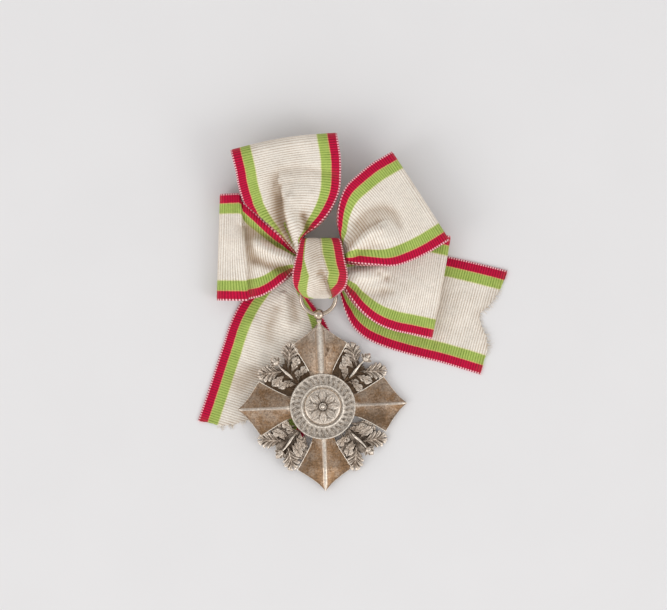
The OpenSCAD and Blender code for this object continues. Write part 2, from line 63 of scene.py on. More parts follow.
# Columns of a loop's table: edge a x and y, edge b x and y, height of the front and of the back
# layer, how far the middle stands up, and how much of edge a is turned under in front. Edge a is
# the left one, seen from the knot outwards. A row for each section, from the outer fold to the knot.
LOOP_TOP_ROWS = [
    [-30.5, 39.9, -4.0, 44.2, 10.3, 5.6, 0.3, 0.0],
    [-29.3, 35.2, -3.2, 39.4, 10.2, 6.0, 0.5, 0.0],
    [-28.5, 30.9, -3.0, 34.4, 9.9, 6.3, 0.7, 0.0],
    [-26.9, 27.0, -3.5, 29.6, 9.5, 6.5, 0.7, 0.3],
    [-22.0, 22.8, -5.8, 24.8, 9.0, 6.6, 0.6, 2.9],
    [-17.9, 19.2, -9.1, 21.2, 8.4, 6.6, 0.4, 4.4],
    [-15.6, 16.6, -12.7, 18.2, 7.5, 6.1, 0.1, 5.0],
    [-13.3, 13.9, -11.6, 14.9, 7.7, 6.5, 0.0, 5.0]]
LOOP_LEFT_ROWS = [
    [-33.8, 2.7, -33.0, 29.3, 4.5, 1.3, 0.2, 0.0],
    [-27.0, 2.6, -28.7, 29.5, 4.9, 1.5, 0.3, 0.0],
    [-26.0, 3.0, -27.8, 27.75, 4.5, 1.9, 0.5, 0.0],
    [-23.0, 3.7, -25.0, 25.1, 4.6, 2.2, 0.8, 0.0],
    [-20.1, 5.3, -22.05, 22.3, 4.6, 2.5, 1.0, 0.0],
    [-17.2, 7.6, -18.5, 19.15, 4.6, 3.1, 1.1, 0.0],
    [-15.2, 9.6, -15.9, 16.3, 4.7, 3.3, 1.1, 0.0],
    [-13.0, 10.2, -12.8, 13.8, 5.2, 3.8, 0.5, 0.0],
    [-11.0, 10.2, -10.8, 13.0, 5.5, 4.2, 0.3, 0.0]]
LOOP_RIGHT_UPPER_ROWS = [
    [9.5, 39.7, 23.8, 17.6, 9.4, 6.3, 0.3, 0.0],
    [5.2, 37.2, 19.6, 15.0, 9.9, 6.6, 0.5, 0.0],
    [1.4, 34.2, 15.1, 12.8, 10.1, 6.8, 0.6, 0.0],
    [-1.8, 31.0, 10.5, 11.3, 9.9, 6.9, 0.6, 0.0],
    [-3.5, 26.6, 5.8, 11.5, 9.4, 6.9, 0.5, 0.0],
    [-3.8, 21.8, 1.5, 11.9, 8.5, 6.6, 0.4, 0.0],
    [-3.0, 17.6, -1.8, 12.4, 7.6, 6.1, 0.1, 0.0],
    [-4.8, 15.2, -4.6, 12.4, 7.4, 6.0, 0.0, 0.0]]
LOOP_RIGHT_LOWER_ROWS = [
    [24.2, 18.8, 19.5, -6.9, 4.7, 1.8, 0.2, 0.0],
    [19.4, 19.8, 14.6, -5.8, 4.9, 2.0, 0.4, 0.0],
    [14.5, 20.1, 10.0, -4.8, 5.0, 2.3, 0.4, 0.0],
    [9.8, 19.3, 5.8, -3.0, 5.1, 2.9, 0.4, 0.0],
    [5.2, 17.1, 2.1, 0.0, 5.2, 3.6, 0.4, 0.0],
    [1.5, 15.2, -0.7, 3.5, 5.2, 3.8, 0.3, 0.0],
    [-1.5, 13.2, -2.5, 6.3, 5.2, 3.8, 0.1, 0.0],
    [-4.6, 12.4, -4.6, 8.2, 5.3, 3.9, 0.0, 0.0]]

# The tails' tables go from the cut end to the knot: edge a x and y, edge b x and y, height, and how
# far the middle stands up.
TAIL_LEFT_ROWS = [
    [-13.5, -35.7, -38.8, -27.4, 0.25, 0.0],
    [-12.0, -30.9, -37.2, -22.7, 0.25, 0.0],
    [-10.5, -26.2, -35.6, -17.9, 0.25, 0.0],
    [-8.9, -21.4, -34.1, -13.2, 0.25, 0.0],
    [-7.4, -16.7, -32.5, -8.4, 0.25, 0.0],
    [-5.8, -11.2, -31.0, -3.7, 0.27, 0.0],
    [-5.5, -6.4, -28.9, 0.9, 0.3, 0.1],
    [-7.0, -2.4, -26.0, 5.2, 0.35, 0.2],
    [-9.8, 1.6, -22.6, 9.4, 0.45, 0.3],
    [-12.4, 4.7, -18.8, 11.8, 0.9, 0.2],
    [-12.9, 7.4, -15.6, 12.4, 2.0, 0.0],
    [-11.9, 7.9, -12.9, 11.8, 3.4, 0.0]]
TAIL_RIGHT_ROWS = [
    [38.8, 10.1, 32.0, -15.9, 0.25, 0.0],
    [34.2, 11.3, 27.2, -14.4, 0.25, 0.0],
    [29.2, 12.5, 22.2, -12.9, 0.25, 0.0],
    [24.4, 13.6, 17.4, -11.7, 0.3, 0.0],
    [19.5, 14.5, 12.5, -10.4, 0.35, 0.0],
    [14.6, 14.8, 7.8, -8.9, 0.5, 0.0],
    [9.8, 14.3, 3.2, -6.8, 1.1, 0.0],
    [5.0, 12.6, -0.1, -3.8, 1.8, 0.0],
    [1.0, 9.8, -2.0, 0.1, 2.3, 0.0],
    [-1.6, 9.4, -3.1, 3.8, 2.7, 0.0],
    [-4.2, 10.2, -4.5, 7.2, 3.0, 0.0]]

# Share of the width and how much of the notch is cut back there
LEFT_CUT = [[0, 0], [0.44, 1], [0.5, 0.89], [0.58, 0.64], [0.67, 0.34], [0.78, 0.1], [1, 0]]
RIGHT_CUT = [[0, 0], [0.17, 0.14], [0.35, 0.55], [0.46, 1], [0.55, 0.74], [0.64, 0.29], [0.74, 0], [1, 0]]

# Ridges and valleys pressed into a front layer: the rise, its reach to the left and to the right
# of its line, how much painted shade it lays along its line (below zero it takes painted shade away), and
# the line's points
LOOP_TOP_MARKS = [
    (0.9, 2.6, 2.6, -0.4, [(-13.4, 29.0), (-12.0, 28.8)]),
    (-0.5, 1.0, 1.5, 0.20, [(-19.4, 32.4), (-18.2, 34.6), (-13.7, 35.6), (-9.9, 35.3), (-5.0, 34.2)]),
    (-0.2, 0.6, 0.6, 0.12, [(-18.2, 30.8), (-17.0, 31.9), (-14.4, 32.1)]),
    (1.1, 1.6, 0.5, 0.0, [(-16.2, 27.9), (-16.4, 26.6), (-16.4, 24.5), (-15.7, 22.0), (-14.5, 18.8),
                          (-13.6, 16.6)]),
    (-0.6, 0.5, 3.0, 0.72, [(-18.2, 31.2), (-18.0, 29.6), (-17.6, 27.2), (-17.3, 24.5), (-16.6, 21.8)]),
    (-1.3, 0.3, 2.3, 0.72, [(-17.55, 28.0), (-17.5, 26.8), (-17.3, 24.5), (-16.6, 21.8), (-15.4, 18.5),
                           (-14.6, 16.2)]),
    (-0.3, 0.3, 1.4, 0.55, [(-17.5, 27.4), (-17.3, 24.5), (-16.6, 21.8), (-15.4, 18.5)]),
    (-1.5, 1.1, 1.0, 1.1, [(-12.5, 23.8), (-11.9, 22.0), (-11.6, 20.6)])]
LOOP_LEFT_MARKS = [
    (1.3, 2.2, 2.0, -0.5, [(-26.2, 26.0), (-22.1, 22.3), (-18.5, 19.2)]),
    (-0.5, 1.6, 0.3, 0.4, [(-27.6, 26.5), (-27.0, 20.5), (-26.4, 13.0), (-26.0, 5.0)]),
    (-0.8, 1.0, 2.0, 0.8, [(-26.2, 20.9), (-23.5, 19.6), (-19.0, 17.0)]),
    (1.4, 1.4, 1.2, -0.8, [(-23.4, 16.6), (-19.0, 14.6), (-14.6, 12.2)]),
    (-1.0, 1.2, 1.2, 1.0, [(-24.2, 12.7), (-20.5, 11.4), (-16.2, 10.4)]),
    (-0.4, 1.4, 1.4, 0.6, [(-26.0, 18.6), (-25.6, 16.0), (-24.8, 13.2)])]
LOOP_RIGHT_UPPER_MARKS = [
    (0.9, 2.4, 2.4, -0.3, [(7.3, 18.9), (9.4, 19.6)]),
    (1.3, 0.45, 1.1, -0.6, [(-1.2, 13.9), (2.0, 17.6), (4.5, 19.7), (6.3, 20.6)]),
    (-0.7, 2.5, 0.3, 0.7, [(-1.8, 14.6), (1.4, 18.4), (3.9, 20.6), (6.0, 21.6)]),
    (-0.5, 1.2, 1.5, 0.5, [(1.0, 21.9), (3.8, 24.6), (7.2, 25.6), (10.2, 24.2), (11.3, 21.2)]),
    (-0.4, 1.0, 1.0, 0.35, [(1.8, 14.8), (5.0, 16.4), (7.0, 16.6)])]
LOOP_RIGHT_LOWER_MARKS = [
    (0.8, 1.6, 1.6, -0.2, [(0.0, 8.7), (7.0, 9.8)]),
    (-0.6, 1.3, 1.3, 0.32, [(-0.5, 5.8), (3.0, 4.6), (7.0, 4.4)]),
    (-0.4, 0.9, 0.9, 0.25, [(-0.5, 10.9), (5.0, 12.4)]),
    (-0.4, 0.9, 0.9, 0.45, [(6.5, 9.3), (8.5, 8.4)]),
    (-0.3, 0.8, 0.8, 0.35, [(7.2, 5.2), (9.8, 4.8)])]
TAIL_LEFT_MARKS = [
    (0.6, 2.8, 2.6, -0.3, [(-25.6, -4.0), (-24.2, -11.0)]),
    (-0.4, 1.3, 1.3, 0.5, [(-19.2, 0.6), (-20.8, -4.0), (-21.0, -7.0)]),
    (0.6, 1.0, 1.0, 0, [(-17.4, 4.0), (-16.8, -3.0)]),
    (-0.4, 1.2, 1.2, 0.6, [(-15.2, 3.5), (-14.4, -1.5)]),
    (0.75, 4.5, 4.5, 0, [(-13.0, -8.0), (-14.0, -24.0)]),
    (-0.3, 2.6, 2.6, 0.6, [(-25.2, -15.6), (-28.4, -18.0)])]
TAIL_RIGHT_MARKS = [
    (0.4, 2.2, 2.2, 0, [(35.5, 3.0), (33.0, -8.0)]),
    (0.3, 2.0, 2.0, 0, [(28.0, 3.0), (25.5, -7.0)]),
    (-0.2, 1.1, 1.1, 0.2, [(22.9, 9.5), (21.9, 0.0), (20.9, -8.5)])]
KNOT_MARKS = [
    (-1.0, 0.5, 0.5, 0.9, [(-7.5, 9.2), (-6.7, 7.4), (-6.1, 5.8), (-5.2, 3.7)]),
    (-0.3, 0.5, 0.5, 0.5, [(-8.6, 10.4), (-8.0, 9.8), (-7.5, 9.0)]),
    (0.0, 2.2, 2.2, 0.35, [(-9.6, 16.5), (-8.4, 11.0), (-8.0, 6.0)])]

# The knot's band, all the way round from its top fold down the front and up the back:
# y, z, left x, right x, and how far its sides bend down
KNOT_ROWS = [
    [17.7, 5.4, -11.8, -4.9, 0.2],
    [18.0, 8.2, -12.8, -3.5, 0.4],
    [17.0, 9.8, -13.3, -2.9, 0.9],
    [15.0, 10.5, -13.8, -2.5, 1.4],
    [12.3, 11.0, -14.5, -2.0, 1.8],
    [9.1, 10.9, -15.1, -1.4, 1.8],
    [6.3, 9.6, -14.6, -1.8, 1.6],
    [4.5, 7.3, -13.1, -3.5, 1.0],
    [3.5, 4.7, -11.9, -5.2, 0.3],
    [3.7, 2.8, -11.6, -5.7, 0.0],
    [5.4, 2.05, -11.6, -5.6, 0.0],
    [9.0, 2.05, -11.7, -5.0, 0.0],
    [13.2, 2.05, -12.2, -5.2, 0.0],
    [16.4, 2.9, -11.6, -5.4, 0.1]]

# Where the stripes meet on the knot's front: y, then the shares of its width at which crimson
# gives way to green, green to cream, cream to green and green to crimson. Then the same shares
# where the knot is hidden, and the thickness of a layer in its pleat.
KNOT_STRIPES = [
    [18.0, 0.13, 0.135, 0.53, 0.78],
    [14.1, 0.165, 0.17, 0.56, 0.81],
    [11.6, 0.17, 0.24, 0.62, 0.82],
    [9.1, 0.14, 0.30, 0.67, 0.85],
    [6.8, 0.06, 0.25, 0.64, 0.81],
    [5.1, 0.02, 0.17, 0.70, 0.715],
    [3.6, 0.01, 0.14, 0.87, 0.88],
    [2.5, 0.005, 0.10, 0.93, 0.95]]
KNOT_STRIPES_HIDDEN = (0.14, 0.28, 0.95, 0.97)
KNOT_LAYER = 0.55

# Tarnish spots on the arms' faces, and broad patches of painted shade on the side arms and of painted light
# on the top one:
# x, y, half the width, half the height, and how dark it is, below zero where it is painted bright
ARM_TARNISH_AND_SHADE = [
    [-6.35, -9.6, 0.55, 0.9, 0.9],
    [-6.75, -10.8, 0.5, 0.6, 0.75],
    [-8.2, -5.6, 3.6, 2.6, -0.42],
    [6.0, -26.2, 7.0, 2.6, 0.62],
    [-20.0, -20.8, 5.0, 2.0, 0.15],
    [-10.8, -37.5, 0.5, 1.4, 0.35],
    [-3.0, -34.0, 1.2, 0.7, 0.30]]

# The beads on the side arms are painted dimmer than the upright ones: painted shade
RIDGE_SHADE = [
    [-20.5, -24.4, 7.0, 3.0, 0.38],
    [-27.5, -24.5, 3.0, 3.0, 0.35],
    [6.5, -23.1, 9.0, 3.0, 0.52]]

# The thin leaves behind the upper sprigs are painted dark all over: painted shade where the table lies in
# shadow between the arms
GROUND_SHADE = [[-7.7, -23.7, 60, 60, 0.9]]

# Dark spots on the ribbon: x, y, radius and strength
RIBBON_DARK_SPOTS = [
    [18.1, 28.1, 0.35, 0.6],
    [-7.75, 9.8, 0.45, 1.0],
    [6.5, 9.6, 0.5, 0.4],
    [8.3, 8.2, 0.45, 0.35],
    [10.2, 7.2, 0.4, 0.3],
    [-15.0, 34.0, 2.5, 0.12]]

# Each loop: name, sections, marks, its pleats' share of the pleat depth with the share of the width
# where the middle ridge runs and the length of root held flat, how far its ribs arch, how far the
# middle of its fold stands out, points across it, and the phase of its unevenness
LOOPS = [
    ("loop_top", LOOP_TOP_ROWS, LOOP_TOP_MARKS, (0.6, 0.45, 3.5), 2.4, 0.9, 65, 1.0),
    ("loop_left", LOOP_LEFT_ROWS, LOOP_LEFT_MARKS, (1.0, 0.5, 2.5), 1.5, 0.0, 49, 2.0),
    ("loop_right_upper", LOOP_RIGHT_UPPER_ROWS, LOOP_RIGHT_UPPER_MARKS, (0.8, 0.62, 3.5), 2.4, 0.1,
     57, 3.0),
    ("loop_right_lower", LOOP_RIGHT_LOWER_ROWS, LOOP_RIGHT_LOWER_MARKS, (0.7, 0.5, 3.5), 1.6, 0.1,
     41, 4.0)]

# The silk's fine threads, how many hang loose at a tail's end, and the colours of the weft's loops
# along the selvedge, from the top of a rib to the groove beside it, whose dark end is painted shade
THREAD_PITCH = 0.17
LOOSE_THREADS = 110
PICOT_COLOURS = [(0.0, (0.96, 0.62, 0.63)), (0.40, (0.86, 0.36, 0.41)), (0.85, (0.30, 0.02, 0.055))]

# The cross's back's middle and its leans in degrees, and its lower and upper end along Y in metres
CROSS_PLACE = (-7.7, -23.7, 1.2)
CROSS_LEANS = (1.2, 2.8, 2.3)
CROSS_SPAN = (-0.042, -0.006)

# Half an arm's hollow-ground section, from its edge to its ridge: share of the half width and share
# of the ridge's rise. Then the half width and rise left at its tip, and the half width and rise of
# the bead on the top, side and bottom arms.
ARM_HOLLOW = [(1.0, 0.03), (0.93, 0.0), (0.8, 0.06), (0.65, 0.16), (0.5, 0.29), (0.35, 0.45), (0.2, 0.66),
              (0.0, 0.92)]
TIP_HALF = 0.18
TIP_RISE = 0.25
RIDGE_BEADS = ((1.2, 0.36), (0.38, 0.27), (0.62, 0.30))

# Half a leaf's section: share of the half width, share of the veins' rise, share of the thickness
LEAF_SECTION = [(1.0, 0.0, 0.72), (0.9, 0.6, 0.88), (0.7, 1.0, 0.95), (0.48, 1.0, 0.92), (0.27, 0.8, 0.84),
                (0.12, 0.3, 0.92), (0.05, 0.0, 1.14), (0.0, 0.0, 1.2)]

# How far out the sprigs' leaves start. Then each sprig's corner, the turn of its two leaves from the
# diagonal, and the turn and length of the acorn's stalk
SPRIG_REACH = 12.4
SPRIGS = [
    [-45, 60, -45, 2, 4.5],
    [-135, 52, -52, -3, 4.3],
    [135, 57, -50, 4, 4.1],
    [45, 52, -54, -2, 4.4]]
STALK_ROOT = [(0, -2.6, 0.4), (0.1, -1.3, 0.7), (0, -0.4, 0.85)]
STALK_RADII = [0.2, 0.36, 0.42, 0.22, 0.2]

# Leaflets of a sprig: x, y and z of the root, turn, and size
LEAFLETS = [
    [-0.3, 12.2, 0.35, 84, 1.1],
    [0.0, 9.9, 0.3, 72, 1.05],
    [0.6, 11.2, 0.35, -68, 1.15],
    [0.6, 9.5, 0.3, -88, 1.0],
    [-0.2, 8.3, 0.2, 40, 0.85],
    [0.3, 8.4, 0.1, -44, 0.8],
    [-0.5, 10.9, 0.4, 60, 1.0],
    [0.7, 12.6, 0.45, -100, 0.9]]

# Thin leaves that lie under a sprig on each side: x, y and turn. Under the upper sprigs they form a dark
# sheet of painted shade.
UPPER_BEDS = ((1.9, 8.2, 20), (0.2, 6.6, 3), (1.1, 5.0, 17))
LOWER_BEDS = ((0.2, 8.0, 3),)

# Turned parts, as lines of (radius, height)
ACORN_CUP = [(0, 0), (0.5, 0.02), (0.88, 0.32), (1.04, 0.75), (1.06, 1.0), (0.98, 1.18), (0.86, 1.2),
             (0.80, 1.1), (0, 1.05)]
ACORN_NUT = [(0, 0.9), (0.78, 0.95), (0.84, 1.3), (0.82, 1.75), (0.66, 2.2), (0.38, 2.52), (0.14, 2.64),
             (0.10, 2.82), (0, 2.86)]
HUB = [(0, 0), (5.2, 0), (5.4, 0.25), (7.2, 0.25), (7.4, 0.45)]
EYE_COLLAR = [(0, 0), (0.62, 0), (0.5, 0.5), (0.46, 0.9), (0.62, 1.3), (0.74, 1.55), (0.66, 1.8),
              (0.5, 2.0), (0, 2.0)]
BERRY = [(0, 0), (0.16, 0), (0.17, 0.14), (0.12, 0.26), (0, 0.31)]
BEAD = [(0, 0), (0.26, 0), (0.28, 0.18), (0.19, 0.36), (0, 0.43)]
BOSS = [(0, 0), (0.95, 0), (0.95, 0.55), (0.84, 0.68), (0.66, 0.66), (0.58, 0.55), (0.45, 0.60),
        (0.3, 0.80), (0, 0.88)]

# Heights over the cross's back of the medallion's seat, and of its lower face and upper rim
SEAT = 1.5
MEDALLION_LOW = 1.56
MEDALLION_TOP = 3.1

# The ball eye's middle and radii, the ring's wire, and the angles to which it is bent and leans
EYE_PLACE = (0, 22.985, 0.95)
EYE_BALL_R = 1.375
EYE_HOLE_R = 0.775
RING_WIRE_R = 0.525
RING_BENT = 358.6
RING_LEAN = 5.6

# The room's light by direction: an axis, two places along it, and the strengths there. Then where
# the two soft lights and the camera stand.
ROOM_LIGHT = ((1, (-1.0, 1.0, 1.25, 0.75)), (2, (0.3, 0.92, 1.4, 0.68)))
LIGHT_PLACE = (850, -480, 720)
CAMERA_OVER = (-4.875, 1.575)


def length_of(name, description, default):
    """A setting for a length, given in millimetres."""
    return FloatProperty(name=name, description=description, default=default * MM, unit="LENGTH")


def colour_of(name, description, default):
    """A setting for a colour."""
    return FloatVectorProperty(name=name, description=description, default=(*default, 1), size=4,
                               subtype="COLOR")


class RibbonSizes(bpy.types.PropertyGroup):
    """Sizes and colours of the ribbon"""
    width: length_of("Width", "From selvedge to selvedge", 26.5)
    wall: length_of("Thickness", "Thickness of the silk between its ribs", 0.36)
    rib_pitch: length_of("Rib Pitch", "Distance from one rib to the next", 0.63)
    rib_rise: length_of("Rib Rise", "How far a rib stands up on each side", 0.07)
    crimson_width: length_of("Crimson Stripe", "Width of the stripe at the selvedge", 2.4)
    green_width: length_of("Green Stripe", "Width of the stripe next to it", 2.5)
    pleat: length_of("Pleat Depth", "Depth of the gathers near the knot", 0.8)
    notch_left: length_of("Left Notch", "Depth of the left tail's swallowtail", 5.6)
    notch_right: length_of("Right Notch", "Depth of the right tail's swallowtail", 4.2)
    cream: colour_of("Cream", "Silk of the middle", (0.94, 0.88, 0.79))
    crimson: colour_of("Crimson", "Silk of the outer stripes", (0.62, 0.006, 0.055))
    green: colour_of("Green", "Silk of the inner stripes", (0.46, 0.58, 0.14))
    # Brown that the silk is mixed towards, for painted shade in its folds and for dark spots
    soil: colour_of("Soil", "Brown dust in folds and stains", (0.29, 0.17, 0.075))


class SilverSizes(bpy.types.PropertyGroup):
    """Sizes and colours of the cross"""
    arm_reach: length_of("Arm Reach", "From the middle to the tip of an arm", 21.1)
    shoulder_reach: length_of("Shoulder Reach", "From the middle to the shoulders", 15.6)
    shoulder_half: length_of("Shoulder Half Width", "Half width at the shoulders", 6.9)
    neck_half: length_of("Neck Half Width", "Half width beside the medallion", 2.8)
    ridge_height: length_of("Ridge Height", "Height of an arm's middle ridge", 2.3)
    edge_height: length_of("Edge Height", "Height of an arm at its edges", 0.9)
    medallion_r: length_of("Medallion Radius", "Outer radius of the medallion", 8.2)
    disc_r: length_of("Disc Radius", "Radius of the middle disc", 4.6)
    leaf_length: length_of("Leaf Length", "Length of a large oak leaf", 7.4)
    leaf_half: length_of("Leaf Half Width", "Half width of a large oak leaf", 2.15)
    wreath_count: IntProperty(name="Wreath Leaves", description="Leaves round the medallion", default=30)
    petal_count: IntProperty(name="Petals", description="Petals of the rosette", default=8)
    bright: colour_of("Bright Silver", "Silver where it is worn", (0.82, 0.74, 0.65))
    dull: colour_of("Dull Silver", "Silver on the open faces", (0.275, 0.164, 0.088))
    tarnish: colour_of("Tarnish", "Brown in the hollows", (0.10, 0.06, 0.033))


class StageSettings(bpy.types.PropertyGroup):
    """Table, light and camera"""
    frame_width: length_of("Frame Width", "Width of table that the camera sees", 166.75)
    camera_height: length_of("Camera Height", "Height of the camera over the table", 1600)
    table: colour_of("Table", "Colour of the table", (0.80, 0.79, 0.795))
    key_power: FloatProperty(name="Key Light", description="Power of each soft light at the near side",
                             default=2.2)
    sky: FloatProperty(name="Surrounding Light", description="Strength of the light from all round",
                       default=0.85)


GROUPS = {"ribbon": RibbonSizes, "silver": SilverSizes, "stage": StageSettings}


def settings(kind):
    """The values of a property group, with lengths in millimetres and colours as tuples."""
    group = getattr(bpy.context.scene, "order_cross_" + kind)
    values = SimpleNamespace()
    for name in GROUPS[kind].__annotations__:
        value = getattr(group, name)
        about = group.bl_rna.properties[name]
        if about.unit == "LENGTH":
            value /= MM
        elif about.subtype == "COLOR":
            value = tuple(value)
        setattr(values, name, value)
    return values


def deselect():
    """Leaves edit mode and selects nothing."""
    if bpy.context.object and bpy.context.object.mode != "OBJECT":
        bpy.ops.object.mode_set(mode="OBJECT")
    bpy.ops.object.select_all(action="DESELECT")


def activate(obj):
    """Makes obj the only selected and the active object."""
    deselect()
    obj.select_set(True)
    bpy.context.view_layer.objects.active = obj


@contextmanager
def editing(obj, kind="VERT"):
    """Edit mode on one object, with all of it selected."""
    activate(obj)
    bpy.ops.object.mode_set(mode="EDIT")
    bpy.ops.mesh.select_mode(type=kind)
    bpy.ops.mesh.select_all(action="SELECT")
    yield
    bpy.ops.object.mode_set(mode="OBJECT")


def pick(obj, numbers, kind="verts"):
    """Selects vertices or edges by their numbers in edit mode, and what lies between them."""
    bpy.ops.mesh.select_all(action="DESELECT")
    mesh = bmesh.from_edit_mesh(obj.data)
    parts = getattr(mesh, kind)
    parts.ensure_lookup_table()
    for n in numbers:
        parts[n].select = True
    mesh.select_flush(True)
    bmesh.update_edit_mesh(obj.data, loop_triangles=False, destructive=False)


def clean_normals(obj):
    """Merges doubled vertices and turns all faces outwards."""
    with editing(obj):
        bpy.ops.mesh.remove_doubles(threshold=0.002 * MM)
        bpy.ops.mesh.normals_make_consistent(inside=False)


def smooth_by_angle(obj, degrees):
    """Smooth shading, with edges sharper than the angle kept."""
    activate(obj)
    bpy.ops.object.shade_smooth_by_angle(angle=math.radians(degrees))


def fixed(obj):
    """Fixes an object's place, turn and size in its mesh."""
    activate(obj)
    bpy.ops.object.transform_apply(location=True, rotation=True, scale=True)
    return obj


def placed(obj, matrix):
    """Moves a model, with its place fixed in its mesh."""
    obj.matrix_world = matrix @ obj.matrix_world
    return fixed(obj)


def copied(obj, matrix):
    """A moved copy of a model, with its own mesh."""
    activate(obj)
    bpy.ops.object.duplicate(linked=False)
    return placed(bpy.context.view_layer.objects.active, matrix)


def deleted(*models):
    """Takes models away once their copies are made."""
    for model in models:
        activate(model)
        bpy.ops.object.delete()


def joined(objects):
    """One object made of several."""
    activate(objects[0])
    for o in objects:
        o.select_set(True)
    if len(objects) > 1:
        bpy.ops.object.join()
    return bpy.context.view_layer.objects.active


def turned(degrees, axis="Z"):
    """A turn about an axis."""
    return Matrix.Rotation(math.radians(degrees), 4, axis)


def moved(x, y, z):
    """A shift."""
    return Matrix.Translation((x * MM, y * MM, z * MM))


def on_cross():
    """Where the cross lies: its back's middle, its leans and its turn."""
    leans = Euler([math.radians(angle) for angle in CROSS_LEANS], "XYZ")
    return moved(*CROSS_PLACE) @ leans.to_matrix().to_4x4()


def finish_piece(obj, name, material, nodes=()):
    """Names a finished piece, gives it its material, hangs it on the root body and hides the frame's nodes
    that it stands for.
    """
    fixed(obj)
    obj.name = name
    obj.data.name = name
    obj.data.materials.clear()
    obj.data.materials.append(material)
    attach(obj, "root")
    if nodes:
        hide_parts(*nodes)
    deselect()


def finish_on_cross(obj, name, material, node):
    """Finishes a silver piece that was modelled at the middle of the upright cross."""
    obj.matrix_world = on_cross()
    finish_piece(obj, name, material, (node,))


def extrude_from(before, point):
    """Extrudes what is selected from one point to the next."""
    step = tuple(b - a for a, b in zip(before, point))
    bpy.ops.mesh.extrude_region_move(TRANSFORM_OT_translate={"value": step})


def spun(profile, steps, axis=(0, 0, 1)):
    """A turned solid: a line of points (radius, height) spun round Z, or another axis."""
    deselect()
    bpy.ops.mesh.primitive_plane_add(size=MM, location=(0, 0, 0))
    obj = bpy.context.object
    points = [(radius * MM, 0, height * MM) for radius, height in profile]
    with editing(obj):
        bpy.ops.mesh.merge(type="CENTER")
        bpy.ops.transform.translate(value=points[0])
        for before, point in zip(points, points[1:]):
            extrude_from(before, point)
        bpy.ops.mesh.select_all(action="SELECT")
        bpy.ops.mesh.spin(steps=steps, angle=math.tau, center=(0, 0, 0), axis=(0, 0, 1))
    clean_normals(obj)
    if axis != (0, 0, 1):
        placed(obj, Vector((0, 0, 1)).rotation_difference(Vector(axis)).to_matrix().to_4x4())
    return obj


def upright_circle(sides, radius, x=0.0):
    """A filled circle that faces along Y, with its middle at x."""
    deselect()
    bpy.ops.mesh.primitive_circle_add(vertices=sides, radius=radius * MM, fill_type="NGON",
                                      location=(x * MM, 0, 0), rotation=(math.radians(90), 0, 0))
    return fixed(bpy.context.object)


def stem(points, radii, sides=8, flat=1.0):
    """A thin stalk along +Y, extruded ring by ring through points (x, y, z). flat is its height
    as a share of its width."""
    points = [tuple(c * MM for c in point) for point in points]
    obj = upright_circle(sides, radii[0])
    with editing(obj):
        bpy.ops.transform.resize(value=(1, 1, flat), center_override=(0, 0, 0))
        bpy.ops.transform.translate(value=points[0])
        for before, point, r0, r1 in zip(points, points[1:], radii, radii[1:]):
            extrude_from(before, point)
            bpy.ops.transform.resize(value=(r1 / r0, 1, r1 / r0), center_override=point)
    clean_normals(obj)
    return obj


def mirrored(side):
    """All columns of a sheet, from those of one half, the last of which is the middle one."""
    return [(-share, lift, base) for share, lift, base in side] + side[-2::-1]


def shaped_grid(rows, columns, sweep=0.0):
    """A raised sheet shaped row by row and column by column, as a grid is by hand.
    A row is (place along Y, half width, height factor). A column is (share of the half width,
    height that the rows scale, height added to all). sweep pushes the sides along Y."""
    deselect()
    nx, ny = len(columns) - 1, len(rows) - 1
    bpy.ops.mesh.primitive_grid_add(x_subdivisions=nx, y_subdivisions=ny, size=2)
    obj = bpy.context.object
    numbers = np.array([(round((v.co.x + 1) / 2 * nx), round((v.co.y + 1) / 2 * ny))
                        for v in obj.data.vertices])

    def pick_line(way, k):
        pick(obj, np.flatnonzero(numbers[:, way] == k).tolist())

    with editing(obj):
        for k, (share, lift, _) in enumerate(columns):
            pick_line(0, k)
            bpy.ops.transform.translate(value=(share - (2 * k / nx - 1), 0, lift))
        for k, (along, half, factor) in enumerate(rows):
            pick_line(1, k)
            bpy.ops.transform.resize(value=(half * MM, 1, factor * MM), center_override=(0, 0, 0))
            bpy.ops.transform.translate(value=(0, along * MM - (2 * k / ny - 1), 0))
        for k, (share, _, base) in enumerate(columns):
            pick_line(0, k)
            bpy.ops.transform.translate(value=(0, sweep * abs(share) * MM, base * MM))
    return obj


def thickened_down(obj, bevel=0.0, above=0.0):
    """Closes a raised sheet to a flat back at height zero, and bevels its outline above a height."""
    with editing(obj, "EDGE"):
        bpy.ops.mesh.select_all(action="DESELECT")
        bpy.ops.mesh.select_non_manifold()
        bpy.ops.mesh.extrude_region_move(TRANSFORM_OT_translate={"value": (0, 0, 0)})
        bpy.ops.transform.resize(value=(1, 1, 0), center_override=(0, 0, 0))
        bpy.ops.mesh.edge_face_add()
    clean_normals(obj)
    if not bevel:
        return
    with editing(obj, "EDGE"):
        outline = []
        for e in bmesh.from_edit_mesh(obj.data).edges:
            upright = sorted(abs(f.normal.z) < 0.2 for f in e.link_faces)
            if upright == [False, True] and all(v.co.z > above * MM for v in e.verts):
                outline.append(e.index)
        pick(obj, outline, "edges")
        bpy.ops.mesh.bevel(offset=bevel * MM, segments=2, affect="EDGES")


def cut_with(obj, cutter):
    """Takes a cutter's shape out of a piece."""
    modifier = obj.modifiers.new("Cut", "BOOLEAN")
    modifier.object = cutter
    modifier.operation = "DIFFERENCE"
    modifier.solver = "EXACT"
    activate(obj)
    bpy.ops.object.modifier_apply(modifier=modifier.name)
    return obj


